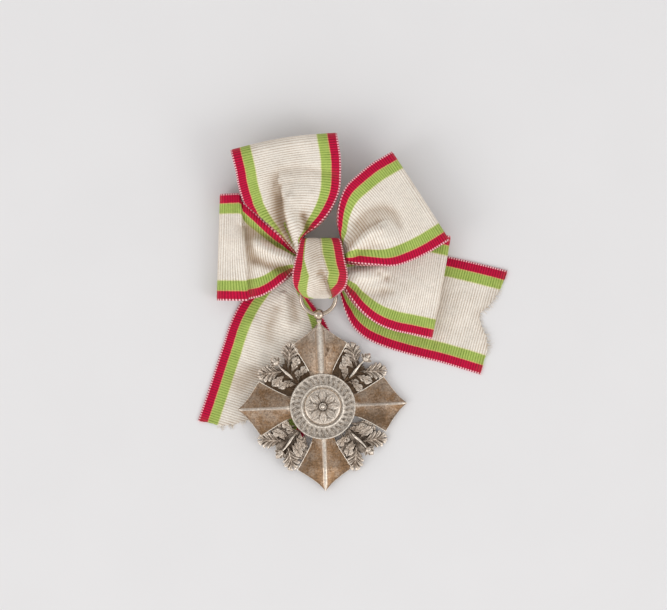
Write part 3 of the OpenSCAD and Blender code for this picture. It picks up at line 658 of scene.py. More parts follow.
class Nodes:
    """The nodes of a material or of the world. Each maker gives back the new node's output, and
    takes sockets, numbers or colours."""

    def __init__(self, owner):
        owner.use_nodes = True
        self.tree = owner.node_tree
        self.shader = self.tree.nodes.get("Principled BSDF") or self.tree.nodes["Background"]

    def feed(self, node, inputs):
        """Links or sets inputs, named or numbered."""
        for place, value in inputs.items():
            if isinstance(value, bpy.types.NodeSocket):
                self.tree.links.new(value, node.inputs[place])
            elif value is not None:
                node.inputs[place].default_value = value

    def make(self, kind, inputs=None, output=0, **values):
        """A node of any kind."""
        node = self.tree.nodes.new("ShaderNode" + kind)
        for key, value in values.items():
            setattr(node, key, value)
        self.feed(node, inputs or {})
        return node.outputs[output]

    def calc(self, operation, first, second=None):
        """Arithmetic on one or two values."""
        return self.make("Math", {0: first, 1: second}, operation=operation)

    def times(self, first, second):
        """A product."""
        return self.calc("MULTIPLY", first, second)

    def plus(self, first, second):
        """A sum."""
        return self.calc("ADD", first, second)

    def mix(self, factor, first, second, blend="MIX"):
        """A mix of two colours."""
        return self.make("Mix", {0: factor, 6: first, 7: second}, 2, data_type="RGBA", blend_type=blend)

    def tinted(self, first, second, factor=1.0):
        """A colour multiplied by a value or another colour."""
        return self.mix(factor, first, second, "MULTIPLY")

    def remap(self, value, low, high, to_low=0.0, to_high=1.0):
        """A value moved from one range to another, and kept inside it."""
        return self.make("MapRange", dict(enumerate((value, low, high, to_low, to_high))))

    def ramp(self, value, stops):
        """A colour ramp with stops (place, colour)."""
        colours = self.make("ValToRGB", {0: value})
        elements = colours.node.color_ramp.elements
        while len(elements) < len(stops):
            elements.new(0.5)
        for element, (place, shade_there) in zip(elements, stops):
            element.position = place
            element.color = (*shade_there[:3], 1)
        return colours

    def noise(self, vector, scale, detail=3.0, roughness=0.5):
        """A noise, its scale in cycles a metre."""
        inputs = {"Vector": vector, "Scale": scale, "Detail": detail, "Roughness": roughness}
        return self.make("TexNoise", inputs, "Fac")

    def own_place(self):
        """The piece's own coordinates."""
        return self.make("TexCoord", output="Object")

    def split(self, vector):
        """The three parts of a vector."""
        return self.make("SeparateXYZ", {0: vector}).node.outputs

    def bump(self, height, strength, distance):
        """Fine relief in the surface, its distance in millimetres."""
        inputs = {"Height": height, "Strength": strength, "Distance": distance * MM}
        self.feed(self.shader, {"Normal": self.make("Bump", inputs)})


def shade(colour, factor):
    """A darker or lighter form of a colour."""
    return tuple(part * factor for part in colour[:3]) + (1,)


def material_of(name, paint, *values, **more):
    """The material with this name. A paint function gives it its nodes when it is new."""
    material = bpy.data.materials.get(name)
    if not material:
        material = bpy.data.materials.new(name)
        paint(Nodes(material), *values, **more)
    return material


def paint_ribbon(nodes):
    """Ribbed silk with a crimson and a green stripe along each selvedge, with painted shade in its folds
    and grooves, and a few dark spots.
    """
    silk = settings("ribbon")
    crimson_end, green_end = silk.crimson_width, silk.crimson_width + silk.green_width
    across, ribs = nodes.split(nodes.make("UVMap", uv_map="weave"))[:2]
    # The mesh attribute holds painted shade in folds and valleys, and a few dark spots
    soil = nodes.make("Attribute", output="Fac", attribute_name="soil")
    own = nodes.own_place()

    edge = nodes.calc("MINIMUM", across, nodes.calc("SUBTRACT", silk.width, across))
    wander = nodes.times(nodes.calc("SUBTRACT", nodes.noise(own, 1500, 2.0), 0.5), 0.16)
    stripes_span = 6.0
    edge_share = nodes.remap(nodes.plus(edge, wander), 0, stripes_span)
    soft = 0.09
    places = (0, crimson_end - soft, crimson_end + soft, crimson_end + 3 * soft, green_end - soft,
              green_end + soft, green_end + 4 * soft)

    def stripes(crimson, line, green, pale_line, cream):
        colours = (crimson, crimson, line, green, green, pale_line, cream)
        return nodes.ramp(edge_share, [(p / stripes_span, c) for p, c in zip(places, colours)])

    gold = (0.78, 0.50, 0.20)
    top = stripes(silk.crimson, gold, silk.green, (0.80, 0.78, 0.42), silk.cream)
    # The grooves between the ribs are painted darker: painted shade in the grooves
    groove = stripes(shade(silk.crimson, 0.22), shade(gold, 0.5), (0.10, 0.20, 0.015), (0.45, 0.38, 0.16),
                     (0.49, 0.36, 0.26))
    wave = nodes.calc("COSINE", nodes.times(ribs, math.tau))
    low = nodes.times(nodes.calc("SUBTRACT", 1.0, wave), 0.5)
    patchy = nodes.remap(nodes.noise(own, 420, 4.0, 0.6), 0.3, 0.75, 0.45, 1.0)
    line = nodes.times(nodes.calc("POWER", low, 2.2), patchy)
    # The grooves are painted darker still where there is painted shade
    line = nodes.times(line, nodes.remap(soil, 0, 0.8, 0.95, 1.5))
    cloth = nodes.mix(nodes.calc("MINIMUM", line, 1.0), top, groove)

    threads = nodes.calc("SINE", nodes.times(across, math.tau / THREAD_PITCH))
    cloth = nodes.tinted(cloth, nodes.remap(threads, -1, 1, 0.93, 1.04))
    cloth = nodes.tinted(cloth, nodes.remap(nodes.noise(own, 130, 3.0, 0.55), 0.3, 0.7, 0.90, 1.05))
    cloth = nodes.tinted(cloth, nodes.remap(nodes.noise(own, 2600, 2.0, 0.6), 0.25, 0.75, 0.86, 1.10))
    picot = nodes.remap(edge, 0.36, 0.48, 1.0, 0.0)
    cloth = nodes.mix(picot, cloth, nodes.ramp(low, PICOT_COLOURS))
    # Painted shade and dark spots mix the silk towards the brown
    shade_and_soil_amount = nodes.times(soil, nodes.remap(nodes.noise(own, 700, 4.0, 0.6), 0.2, 0.8, 0.6, 1.15))
    cloth = nodes.mix(nodes.calc("MINIMUM", shade_and_soil_amount, 0.9), cloth, nodes.mix(0.30, silk.soil, cloth))
    nodes.feed(nodes.shader, {"Base Color": cloth, "Roughness": 0.62, "Sheen Weight": 0.06,
                              "Sheen Roughness": 0.45, "Specular IOR Level": 0.12})
    nodes.bump(nodes.plus(threads, nodes.times(nodes.noise(own, 5200, 2.0), 2.5)), 0.30, 0.03)


def paint_threads(nodes):
    """Loose silk of the frayed ends."""
    uneven = nodes.noise(nodes.own_place(), 1500, 2.0)
    silk = nodes.ramp(uneven, [(0.3, (0.62, 0.52, 0.40)), (0.65, (0.86, 0.80, 0.71))])
    nodes.feed(nodes.shader, {"Base Color": silk, "Roughness": 0.6, "Sheen Weight": 0.3})


def paint_silver(nodes, worn, dark, painted_light_upward=0.0, stains=(), painted_highlight_half=0.0, polish=0.0):
    """Struck silver: bright where it is worn, dull on open faces, brown in its hollows.
    worn from 0 to 1 says how bright it is overall, dark how much of it is tarnished, and
    painted_light_upward how much brighter its upper end is painted than its lower one, as painted light.
    stains holds tarnish spots and patches of painted shade and light, each x, y, half its width and half
    its height, and how dark it is, below zero if it is painted bright.
    painted_highlight_half is the half width over which the painted highlight on an arm's ridge fades to a
    colour like the faces', and polish from 0 to 1 is how smooth it is."""
    metal = settings("silver")
    own = nodes.own_place()
    hollow = nodes.make("AmbientOcclusion", {"Distance": 1.3 * MM}, "AO", samples=6, only_local=True)
    open_share = nodes.remap(hollow, 0.42, 0.92)
    ridge = nodes.remap(nodes.make("NewGeometry", output="Pointiness"), 0.515, 0.60)
    clouds = nodes.noise(own, 330, 5.0, 0.62)
    specks = nodes.noise(own, 2400, 4.0, 0.65)
    mottled = nodes.remap(nodes.plus(nodes.times(clouds, 0.65), nodes.times(specks, 0.35)), 0.36, 0.64)
    height = nodes.split(own)[1]

    bright_share = nodes.remap(mottled, 0, 1, 0.75 * worn - 0.16, 0.75 * worn + 0.24)
    # Painted light: the upper end is painted brighter than the lower one
    bright_share = nodes.plus(bright_share, nodes.remap(height, *CROSS_SPAN, -painted_light_upward, painted_light_upward))
    face = nodes.mix(bright_share, metal.dull, metal.bright)
    face = nodes.mix(nodes.remap(clouds, 0.56, 0.74, 0.0, 0.45 * dark), face, shade(metal.dull, 0.45))
    face = nodes.mix(nodes.times(ridge, 0.8), face, metal.bright)
    shut = nodes.times(nodes.calc("SUBTRACT", 1.0, open_share), dark)
    colour = nodes.mix(shut, face, metal.tarnish)
    # Tarnish spots, and patches of painted shade and painted light
    for x, y, half_x, half_y, depth in stains:
        spot = nodes.make("Mapping", {"Vector": own, "Location": (x * MM, y * MM, 0),
                                      "Scale": (half_x * MM, half_y * MM, 1.0)}, vector_type="TEXTURE")
        away = nodes.make("VectorMath", {0: spot}, "Value", operation="LENGTH")
        uneven = nodes.plus(away, nodes.times(nodes.calc("SUBTRACT", specks, 0.5), 1.2))
        share = nodes.remap(uneven, 0.4, 1.25, abs(depth), 0.0)
        colour = nodes.mix(share, colour, metal.tarnish if depth > 0 else metal.bright)
    # Painted highlight: the ridge's middle and what lies beyond its flanks are drawn brighter, and the
    # flanks fade to a colour like the faces'
    if painted_highlight_half:
        place, turn, _ = on_cross().decompose()
        lying = nodes.make("Mapping", {"Vector": own, "Location": place, "Rotation": turn.to_euler()},
                           vector_type="TEXTURE")
        off = nodes.calc("MINIMUM", *(nodes.calc("ABSOLUTE", part) for part in nodes.split(lying)[:2]))
        half = painted_highlight_half * MM
        narrower = nodes.remap(height, *CROSS_SPAN, 1.9, 1.0)
        fading = nodes.remap(nodes.times(off, narrower), half * 0.12, half * 0.9)
        fading = nodes.times(fading, nodes.remap(off, half * 1.1, half * 1.3, 1.0, 0.0))
        face_like = tuple(0.83 * dull + 0.17 * bright for dull, bright in zip(metal.dull, metal.bright))
        colour = nodes.mix(fading, nodes.tinted(colour, (1.18, 1.18, 1.18, 1)), face_like)
    grain = nodes.remap(nodes.noise(own, 2100, 3.0, 0.75), 0.3, 0.7, 0.52, 1.44)
    rough = nodes.remap(mottled, 0, 1, 0.47 - 0.27 * polish, 0.36 - 0.22 * polish)
    nodes.feed(nodes.shader, {
        "Base Color": nodes.tinted(colour, grain, 1.0 - 0.75 * polish), "Metallic": 0.88,
        "Roughness": nodes.plus(rough, nodes.times(shut, 0.25 - 0.2 * polish))})
    scratched = nodes.make("Mapping", {"Vector": own, "Scale": (1.0, 5.0, 1.0), "Rotation": (0, 0, 0.6)})
    pits = nodes.plus(nodes.times(specks, 0.8), nodes.noise(scratched, 1700, 3.0, 0.7))
    nodes.bump(pits, 0.35 * (1 - 0.75 * polish), 0.06)


def paint_steel(nodes):
    """Dull drawn wire of the pin."""
    drawn = nodes.make("Mapping", {"Vector": nodes.own_place(), "Scale": (0.2, 4.0, 4.0)})
    grain = nodes.noise(drawn, 900, 4.0)
    steel = nodes.ramp(grain, [(0.3, (0.30, 0.28, 0.26)), (0.7, (0.58, 0.56, 0.53))])
    nodes.feed(nodes.shader, {"Base Color": steel, "Metallic": 1.0,
                              "Roughness": nodes.remap(grain, 0.2, 0.8, 0.3, 0.55)})


def paint_table(nodes):
    """Smooth pale board."""
    colour = settings("stage").table
    tone = nodes.ramp(nodes.noise(nodes.own_place(), 40, 2.0), [(0.3, shade(colour, 0.985)), (0.7, colour)])
    nodes.feed(nodes.shader, {"Base Color": tone, "Roughness": 0.9, "Specular IOR Level": 0.1})


def smooth_row(rows, t, ring=False):
    """Rows of a table along a smooth curve, at row numbers t that need not be whole. A ring's
    table goes round and meets itself."""
    rows = np.asarray(rows, float)
    n = len(rows)
    i = np.floor(t).astype(int)
    if not ring:
        i = np.minimum(i, n - 2)
    f = (t - i)[:, None]
    near = [i + k for k in (-1, 0, 1, 2)]
    p, q, r, s = (rows[k % n if ring else np.clip(k, 0, n - 1)] for k in near)
    return 0.5 * (2 * q + (r - p) * f + (2 * p - 5 * q + 4 * r - s) * f ** 2
                  + (3 * q - p - 3 * r + s) * f ** 3)


def unit(vectors):
    """Vectors of length 1 that point the same way."""
    return vectors / np.maximum(np.linalg.norm(vectors, axis=-1, keepdims=True), 1e-12)


def path_of(a, b, z, crown, front, roll):
    """The sections of a ribbon with the distance gone along its middle."""
    steps = np.linalg.norm(np.diff(np.column_stack([(a + b) / 2, z]), axis=0), axis=1)
    return {"s": np.concatenate([[0], np.cumsum(steps)]), "a": a, "b": b, "z": z, "crown": crown,
            "front": front, "roll": roll}


def loop_path(rows):
    """Sections of a loop: out along the front, round the fold and back. The back layer is a
    little wider at the knot, where both selvedges show."""
    rows = np.asarray(rows, float)
    last = len(rows) - 1
    back = rows.copy()
    for k in range(2, last + 1):
        wider = 0.65 * min(1, max(0, (k - last + 4) / 2)) * unit(rows[k, 2:4] - rows[k, 0:2])
        back[k, 0:2] -= wider
        back[k, 2:4] += wider
    fine = 0.02
    out = smooth_row(rows, np.arange(last, 1 - fine / 2, -fine).clip(1, last))
    home = smooth_row(back, np.arange(1, last + fine / 2, fine).clip(1, last))
    turn = np.radians(np.linspace(0, 180, 46))
    half_turned = (1 + np.cos(turn)) / 2
    _, _, _, _, front_z, back_z, fold_crown, fold_roll = rows[0]
    r = (front_z - back_z) / 2

    def edge_line(k):
        outwards = unit(rows[0, k:k + 2] - rows[1, k:k + 2]) * r
        fold = rows[0, k:k + 2] - outwards + outwards * np.sin(turn)[:, None]
        return np.vstack([out[:, k:k + 2], fold, home[:, k:k + 2]])

    z = np.concatenate([out[:, 4], back_z + 2 * r * half_turned, home[:, 5]])
    crown = np.concatenate([out[:, 6], fold_crown * half_turned, home[:, 6] * 0.5])
    front = np.concatenate([np.ones(len(out)), half_turned, np.zeros(len(home))])
    roll = np.concatenate([out[:, 7], np.full(len(turn), fold_roll), home[:, 7]]) * front
    return path_of(edge_line(0), edge_line(2), z, crown, front, np.maximum(roll, 0))


def tail_path(rows):
    """Sections of a tail, from the knot out to its end."""
    last = len(rows) - 1
    out = smooth_row(rows, np.linspace(last, 0, 50 * last))
    zero = np.zeros(len(out))
    return path_of(out[:, 0:2], out[:, 2:4], out[:, 4], out[:, 5], zero + 1, zero)


def mark_share(x, y, mark):
    """How strongly a mark is felt at points: 1 on its line, which is drawn smoothly through its
    points, and fading on each side over its reach there. Ridges are flat on top and end steeply."""
    rise, reach_left, reach_right, _, line = mark
    line = np.array(line, float)
    if len(line) > 2:
        line = smooth_row(line, np.linspace(0, len(line) - 1, 8 * len(line)))
    nearest, left = np.full_like(x, 1e9), np.zeros_like(x, bool)
    for (x1, y1), (x2, y2) in zip(line, line[1:]):
        dx, dy = x2 - x1, y2 - y1
        share = np.clip(((x - x1) * dx + (y - y1) * dy) / (dx * dx + dy * dy), 0, 1)
        away = np.hypot(x - x1 - share * dx, y - y1 - share * dy)
        closer = away < nearest
        nearest = np.where(closer, away, nearest)
        left = np.where(closer, dx * (y - y1) - dy * (x - x1) > 0, left)
    return np.exp(-(nearest / np.where(left, reach_left, reach_right)) ** (3.6 if rise > 0 else 2))


def marks_rise(x, y, marks):
    """How far the marks raise the ribbon at points."""
    return sum((mark[0] * mark_share(x, y, mark) for mark in marks), np.zeros_like(x))


def shade_and_soil_at(x, y, marks):
    """How dark the ribbon is painted at points: painted shade in its valleys, less by its ridges, and a few
    dark spots.
    """
    shade_and_soil_amount = sum((mark[3] * mark_share(x, y, mark) for mark in marks if mark[3]), np.zeros_like(x))
    for spot_x, spot_y, radius, strength in RIBBON_DARK_SPOTS:
        shade_and_soil_amount = shade_and_soil_amount + strength * np.exp(-(np.hypot(x - spot_x, y - spot_y) / radius) ** 2)
    return np.maximum(0, shade_and_soil_amount)


def waves(x, y, seed):
    """Slow soft unevenness of lying silk, between about -1 and 1."""
    return (0.5 * np.sin(0.31 * x + 0.23 * y + seed) + 0.3 * np.sin(-0.21 * x + 0.47 * y + 2.1 * seed)
            + 0.2 * np.sin(0.73 * x - 0.35 * y + 3.7 * seed))


def eased(value, low, high):
    """A soft step from 0 at low to 1 at high."""
    t = np.clip((value - low) / (high - low), 0, 1)
    return t * t * (3 - 2 * t)


def rolled(distance, roll, width):
    """An edge that is turned under: the share across what stays in sight, the width in sight, and
    the drop of the part below it, at distances from the edge."""
    turned_under = np.clip(roll / 0.5, 0, 1)
    soft = np.maximum(0.3 * turned_under, 1e-6)
    beyond = distance - roll
    round_off = np.sqrt(beyond ** 2 + soft ** 2)
    seen = width - roll
    share = (round_off - soft) / (np.sqrt(seen ** 2 + soft ** 2) - soft)
    return share, seen, 0.42 * turned_under * (1 - beyond / round_off)


def layer_points(path, along, share, pleats, marks, seed):
    """Points of the ribbon's middle surface. pleats is (depth, share of the width where the
    middle ridge runs, length of root held flat)."""
    width = settings("ribbon").width

    def at(values):
        return np.interp(along, path["s"], values)

    ax, ay, bx, by = (at(path[k][:, c]) for k in "ab" for c in (0, 1))
    chord = np.hypot(bx - ax, by - ay)
    share, seen, drop = rolled(share * width, at(path["roll"]), width)
    spread = np.clip(seen / chord - 1, 0, 0.95)
    place = share + spread * np.sin(math.tau * share) / math.tau
    x, y = ax + (bx - ax) * place, ay + (by - ay) * place
    front = at(path["front"])
    depth, ridge, root = pleats
    from_knot = np.minimum(along, path["s"][-1] - along) if front.min() < 0.5 else along
    gather = eased(1 - chord / width, 0.08, 0.55) * (0.3 + 0.7 * eased(from_knot, root, root + 4))
    shifted = place + (0.5 - ridge) * np.sin(math.pi * place) ** 2
    pleat = depth * gather * np.cos(4 * math.pi * shifted) * (0.35 + 0.65 * front)
    z = at(path["z"]) + at(path["crown"]) * np.sin(math.pi * place) + pleat - drop
    z = z + front * marks_rise(x, y, marks) + 0.10 * waves(x, y, seed)
    return np.stack([x, y, z], axis=-1)


def grid_normals(points, closed=False):
    """The way a grid of points faces."""
    if closed:
        along = np.roll(points, -1, axis=0) - np.roll(points, 1, axis=0)
    else:
        along = np.gradient(points, axis=0)
    return unit(np.cross(np.gradient(points, axis=1), along))


def across_shares(count):
    """Columns across the ribbon, closer at the selvedges."""
    return np.concatenate([[0, 0.011], np.linspace(0.03, 0.97, count), [0.989, 1]])


def rib_half(ribs, across):
    """Half thickness of the ribbon with its ribs, thinner at the selvedges."""
    silk = settings("ribbon")
    edge = np.minimum(across, silk.width - across)
    rise = silk.rib_rise * (1 + np.cos(math.tau * ribs)) / 2
    return (silk.wall / 2 + rise) * (0.72 + 0.28 * eased(edge, 0.0, 0.5))


def scalloped(points, ribs):
    """Pushes the outermost columns out where a rib ends, as the weft's loops do."""
    reach = 0.02 * np.cos(math.tau * ribs[:, 0])
    for edge, inner in ((0, 2), (-1, -3)):
        points[:, edge] += unit(points[:, edge] - points[:, inner]) * reach[:, None]
    return points


def mesh_object(name, points, faces):
    """An object from points in millimetres and faces."""
    mesh = bpy.data.meshes.new(name)
    mesh.from_pydata((np.array(points) * MM).tolist(), [], faces)
    obj = bpy.data.objects.new(name, mesh)
    bpy.context.scene.collection.objects.link(obj)
    return obj


def ribbon_object(name, points, normals, across, ribs, soil, kept=None, closed=False):
    """A ribbon wall from the grid of its middle surface, with its weave's map and its painted shade and
    dark spots.
    """
    n, m = points.shape[:2]
    size = n * m
    walls = normals * rib_half(ribs, across)[..., None]
    i, j = np.meshgrid(np.arange(n if closed else n - 1), np.arange(m - 1), indexing="ij")
    if kept is not None:
        i, j = i[kept], j[kept]
    i, j = i.ravel(), j.ravel()
    after = (i + 1) % n
    quads = np.stack([i * m + j, i * m + j + 1, after * m + j + 1, after * m + j], axis=1)
    edges = np.concatenate([quads[:, [k, (k + 1) % 4]] for k in range(4)])
    code, reverse = edges[:, 0] * size + edges[:, 1], edges[:, 1] * size + edges[:, 0]
    rim = edges[~np.isin(code, reverse)]
    rim_quads = np.stack([rim[:, 1], rim[:, 0], rim[:, 0] + size, rim[:, 1] + size], axis=1)
    faces = np.concatenate([quads, quads[:, ::-1] + size, rim_quads])
    used = np.zeros(2 * size, bool)
    used[faces.ravel()] = True
    faces = (np.cumsum(used) - 1)[faces]
    both = np.stack([points + walls, points - walls]).reshape(-1, 3)[used]
    obj = mesh_object(name, both, faces.tolist())
    mesh = obj.data
    smooth = np.arange(len(faces)) < 2 * len(quads)
    mesh.polygons.foreach_set("use_smooth", smooth)
    weave = np.stack([np.tile(values.ravel(), 2)[used] for values in (across, ribs)], axis=1)
    corner = np.zeros(len(mesh.loops), int)
    mesh.loops.foreach_get("vertex_index", corner)
    mesh.uv_layers.new(name="weave").data.foreach_set("uv", weave[corner].ravel())
    attribute = mesh.attributes.new("soil", "FLOAT", "POINT")
    attribute.data.foreach_set("value", np.tile(soil.ravel(), 2)[used])
    mesh.validate()
    return obj


def finish_ribbon(obj, node):
    """Finishes a ribbon piece, which stands for one node of the frame."""
    finish_piece(obj, node + "_ribbon", material_of("Ribbed silk", paint_ribbon), (node,))


def build_loop(name, rows, marks, pleats, bow, bulge, columns, seed):
    """One loop of the bow, out, round its fold and back, and its length. bow is how far its ribs
    arch towards the fold, bulge how far the middle of the fold stands out, and columns how many
    points lie across it."""
    silk = settings("ribbon")
    path = loop_path(rows)
    total = path["s"][-1]
    stations = np.arange(0, total, silk.rib_pitch / 4)
    along, share = np.meshgrid(stations, across_shares(columns), indexing="ij")
    out_length = path["s"][np.argmax(path["front"] < 1)]
    hump = np.sin(math.pi * np.clip(along / out_length, 0, 1) ** 0.8) * (along < out_length)
    bent = along + bow * hump * (1 - (2 * share - 1) ** 2)
    points = layer_points(path, bent, share, pleats, marks, seed)
    outer, inner = (row[0:2] + row[2:4] for row in np.array(rows)[:2])
    near_fold = np.exp(-((along - out_length - 3) / 6) ** 2)
    points[..., 0:2] += unit(outer - inner) * (bulge * near_fold * np.sin(math.pi * share))[..., None]
    front = np.interp(bent, path["s"], path["front"])
    # Painted shade in the valleys, and over all the back layer, which lies in the shade of the front
    soil = shade_and_soil_at(points[..., 0], points[..., 1], marks) * front + 0.6 * (1 - front)
    ribs = along / silk.rib_pitch
    points = scalloped(points, ribs)
    obj = ribbon_object(name, points, grid_normals(points), share * silk.width, ribs, soil)
    finish_ribbon(obj, name)
    return obj, total


def build_tail(name, rows, marks, cut, notch, seed):
    """One tail, cut to a swallowtail whose ribs run straight to the cut, its length and its
    loose threads."""
    silk = settings("ribbon")
    path = tail_path(rows)
    total = path["s"][-1]
    stations = np.append(np.arange(0, total, silk.rib_pitch / 4), total)
    shares = across_shares(41)
    rough = random.Random(seed)
    cut_at = np.interp(shares, *zip(*cut)) * notch
    cut_at = cut_at + np.array([rough.uniform(0, 0.22) for _ in shares])
    along, share = np.meshgrid(stations, shares, indexing="ij")
    ends = np.broadcast_to(total - cut_at, along.shape)
    clipped = np.minimum(along, ends)
    pleats = (silk.pleat * 0.4, 0.5, 3.0)
    full = layer_points(path, along, share, pleats, marks, seed)
    points = layer_points(path, clipped, share, pleats, marks, seed)
    lowest = silk.wall / 2 + silk.rib_rise + 0.01
    points[..., 2] = np.maximum(points[..., 2], lowest)
    kept = ~((along[:-1, :-1] >= ends[:-1, :-1]) & (along[:-1, 1:] >= ends[:-1, 1:]))
    # Painted shade in the valleys, dark spots, and a darker band along the cut end
    soil = shade_and_soil_at(points[..., 0], points[..., 1], marks) + 0.22 * np.exp(-((ends - clipped) / 1.2) ** 2)
    ribs = clipped / silk.rib_pitch
    points = scalloped(points, ribs)
    obj = ribbon_object(name, points, grid_normals(full), share * silk.width, ribs, soil, kept)
    finish_ribbon(obj, name)
    edge = np.array([[np.interp(total - c, stations, full[:, k, axis]) for axis in range(3)]
                     for k, c in enumerate(cut_at)])
    outwards = unit(full[-1].mean(axis=0) - full[-20].mean(axis=0))
    threads = fray(name + "_threads", edge[(shares > 0.19) & (shares < 0.81)], outwards, seed + 50)
    return obj, total, threads


def fray(name, edge, outwards, seed):
    """Loose threads along a cut edge, each a thin bent tube of three sides."""
    rough = random.Random(seed)
    outwards = Vector(outwards)
    side = Vector((-outwards.y, outwards.x, 0))
    up = Vector((0, 0, 1))
    steps = 4
    verts, faces = [], []
    for _ in range(LOOSE_THREADS):
        t = rough.uniform(0, len(edge) - 1.001)
        k = int(t)
        root = Vector(edge[k] + (edge[k + 1] - edge[k]) * (t - k)) - outwards * 0.25
        length = rough.uniform(0.4, 1.5) * (1.6 if rough.random() < 0.12 else 1)
        way = outwards + side * rough.uniform(-0.7, 0.7)
        bend = side * rough.uniform(-0.8, 0.8)
        base = len(verts)
        top = base + 3 * steps
        for f in (step / steps for step in range(steps + 1)):
            middle = root + way * length * f + bend * length * f * f * 0.5
            middle.z = max(0.06, root.z + rough.uniform(-0.04, 0.10) - 0.12 * f)
            r = 0.065 * (1 - 0.5 * f)
            for angle in (0, math.tau / 3, math.tau * 2 / 3):
                verts.append(middle + (side * math.cos(angle) + up * math.sin(angle)) * r)
        for a in range(base, top, 3):
            faces += [(a + k, a + (k + 1) % 3, a + (k + 1) % 3 + 3, a + k + 3) for k in range(3)]
        faces += [(base + 2, base + 1, base), (top, top + 1, top + 2)]
    obj = mesh_object(name, verts, faces)
    clean_normals(obj)
    finish_piece(obj, name, material_of("Loose silk", paint_threads))
    return obj


def knot_section(y, width, front):
    """Sections of the knot's band, one for each place y: how far across, how deep below the outer
    face, and which thread of the ribbon it is. The cream is laid in a flat pleat under the front,
    and its turned edge shows as a line beside the green."""
    silk = settings("ribbon")
    whole, c, g = silk.width, silk.crimson_width, silk.crimson_width + silk.green_width
    table = np.array(KNOT_STRIPES)[::-1]
    c1, g1, g2, c2 = (width * (front * np.interp(y, table[:, 0], shares) + (1 - front) * hidden)
                      for shares, hidden in zip(table.T[1:], KNOT_STRIPES_HIDDEN))
    line = g2 - 0.7
    seen = g + line - g1
    deep = np.minimum((whole - g - 1.2 - seen - 1.0) / 2, line - 0.5)
    turned_in = line - deep
    far = whole - g
    controls = [
        (0, 0, 0), (c1, 0, c), (g1, 0, g), (line - 0.25, 0, seen), (line, -0.5, seen + 0.4),
        (line - 0.25, -1, seen + 0.8), (turned_in, -1, seen + 0.8 + deep),
        (turned_in - 0.25, -1.5, seen + 1.2 + deep), (turned_in, -2, seen + 1.6 + deep),
        (line - 0.2, -2, far - 1.2), (line + 0.25, -0.8, far - 0.6), (g2, 0, far), (c2, 0, whole - c),
        (width, 0, whole)]
    zero = np.zeros_like(y)
    controls = np.array([[zero + part for part in control] for control in controls])
    columns = np.concatenate([[0, 0.1], np.linspace(0.3, 2.7, 9), np.linspace(3, 5, 7), [5.3, 5.6],
                              np.linspace(6, 8, 7), [8.3, 8.7], np.linspace(9, 11, 9),
                              np.linspace(11.25, 12.7, 7), [12.9, 13]])
    smooth = smooth_row(controls.reshape(len(controls), -1), columns).reshape(len(columns), 3, len(y))
    place, depth, thread = smooth.transpose(1, 2, 0)
    return place, depth * KNOT_LAYER, np.clip(thread, 0, whole)


class Builder:
    """What all the operators share."""
    bl_options = {"REGISTER", "UNDO"}


class ORDERCROSS_OT_loops(Builder, bpy.types.Operator):
    """Builds the four loops of the bow as one wall each"""
    bl_idname = "order_cross.loops"
    bl_label = "Loops"

    def execute(self, context):
        silk = settings("ribbon")
        for name, rows, marks, (deep, ridge, root), bow, bulge, columns, seed in LOOPS:
            pleats = (silk.pleat * deep, ridge, root)
            obj, length = build_loop(name, rows, marks, pleats, bow, bulge, columns, seed)
        return {"FINISHED"}


class ORDERCROSS_OT_tails(Builder, bpy.types.Operator):
    """Builds the two tails with their swallowtail ends and loose threads"""
    bl_idname = "order_cross.tails"
    bl_label = "Tails"

    def execute(self, context):
        silk = settings("ribbon")
        for name, rows, marks, cut, notch, seed in (
                ("tail_left", TAIL_LEFT_ROWS, TAIL_LEFT_MARKS, LEFT_CUT, silk.notch_left, 5),
                ("tail_right", TAIL_RIGHT_ROWS, TAIL_RIGHT_MARKS, RIGHT_CUT, silk.notch_right, 6)):
            obj, length, threads = build_tail(name, rows, marks, cut, notch, seed)
        return {"FINISHED"}


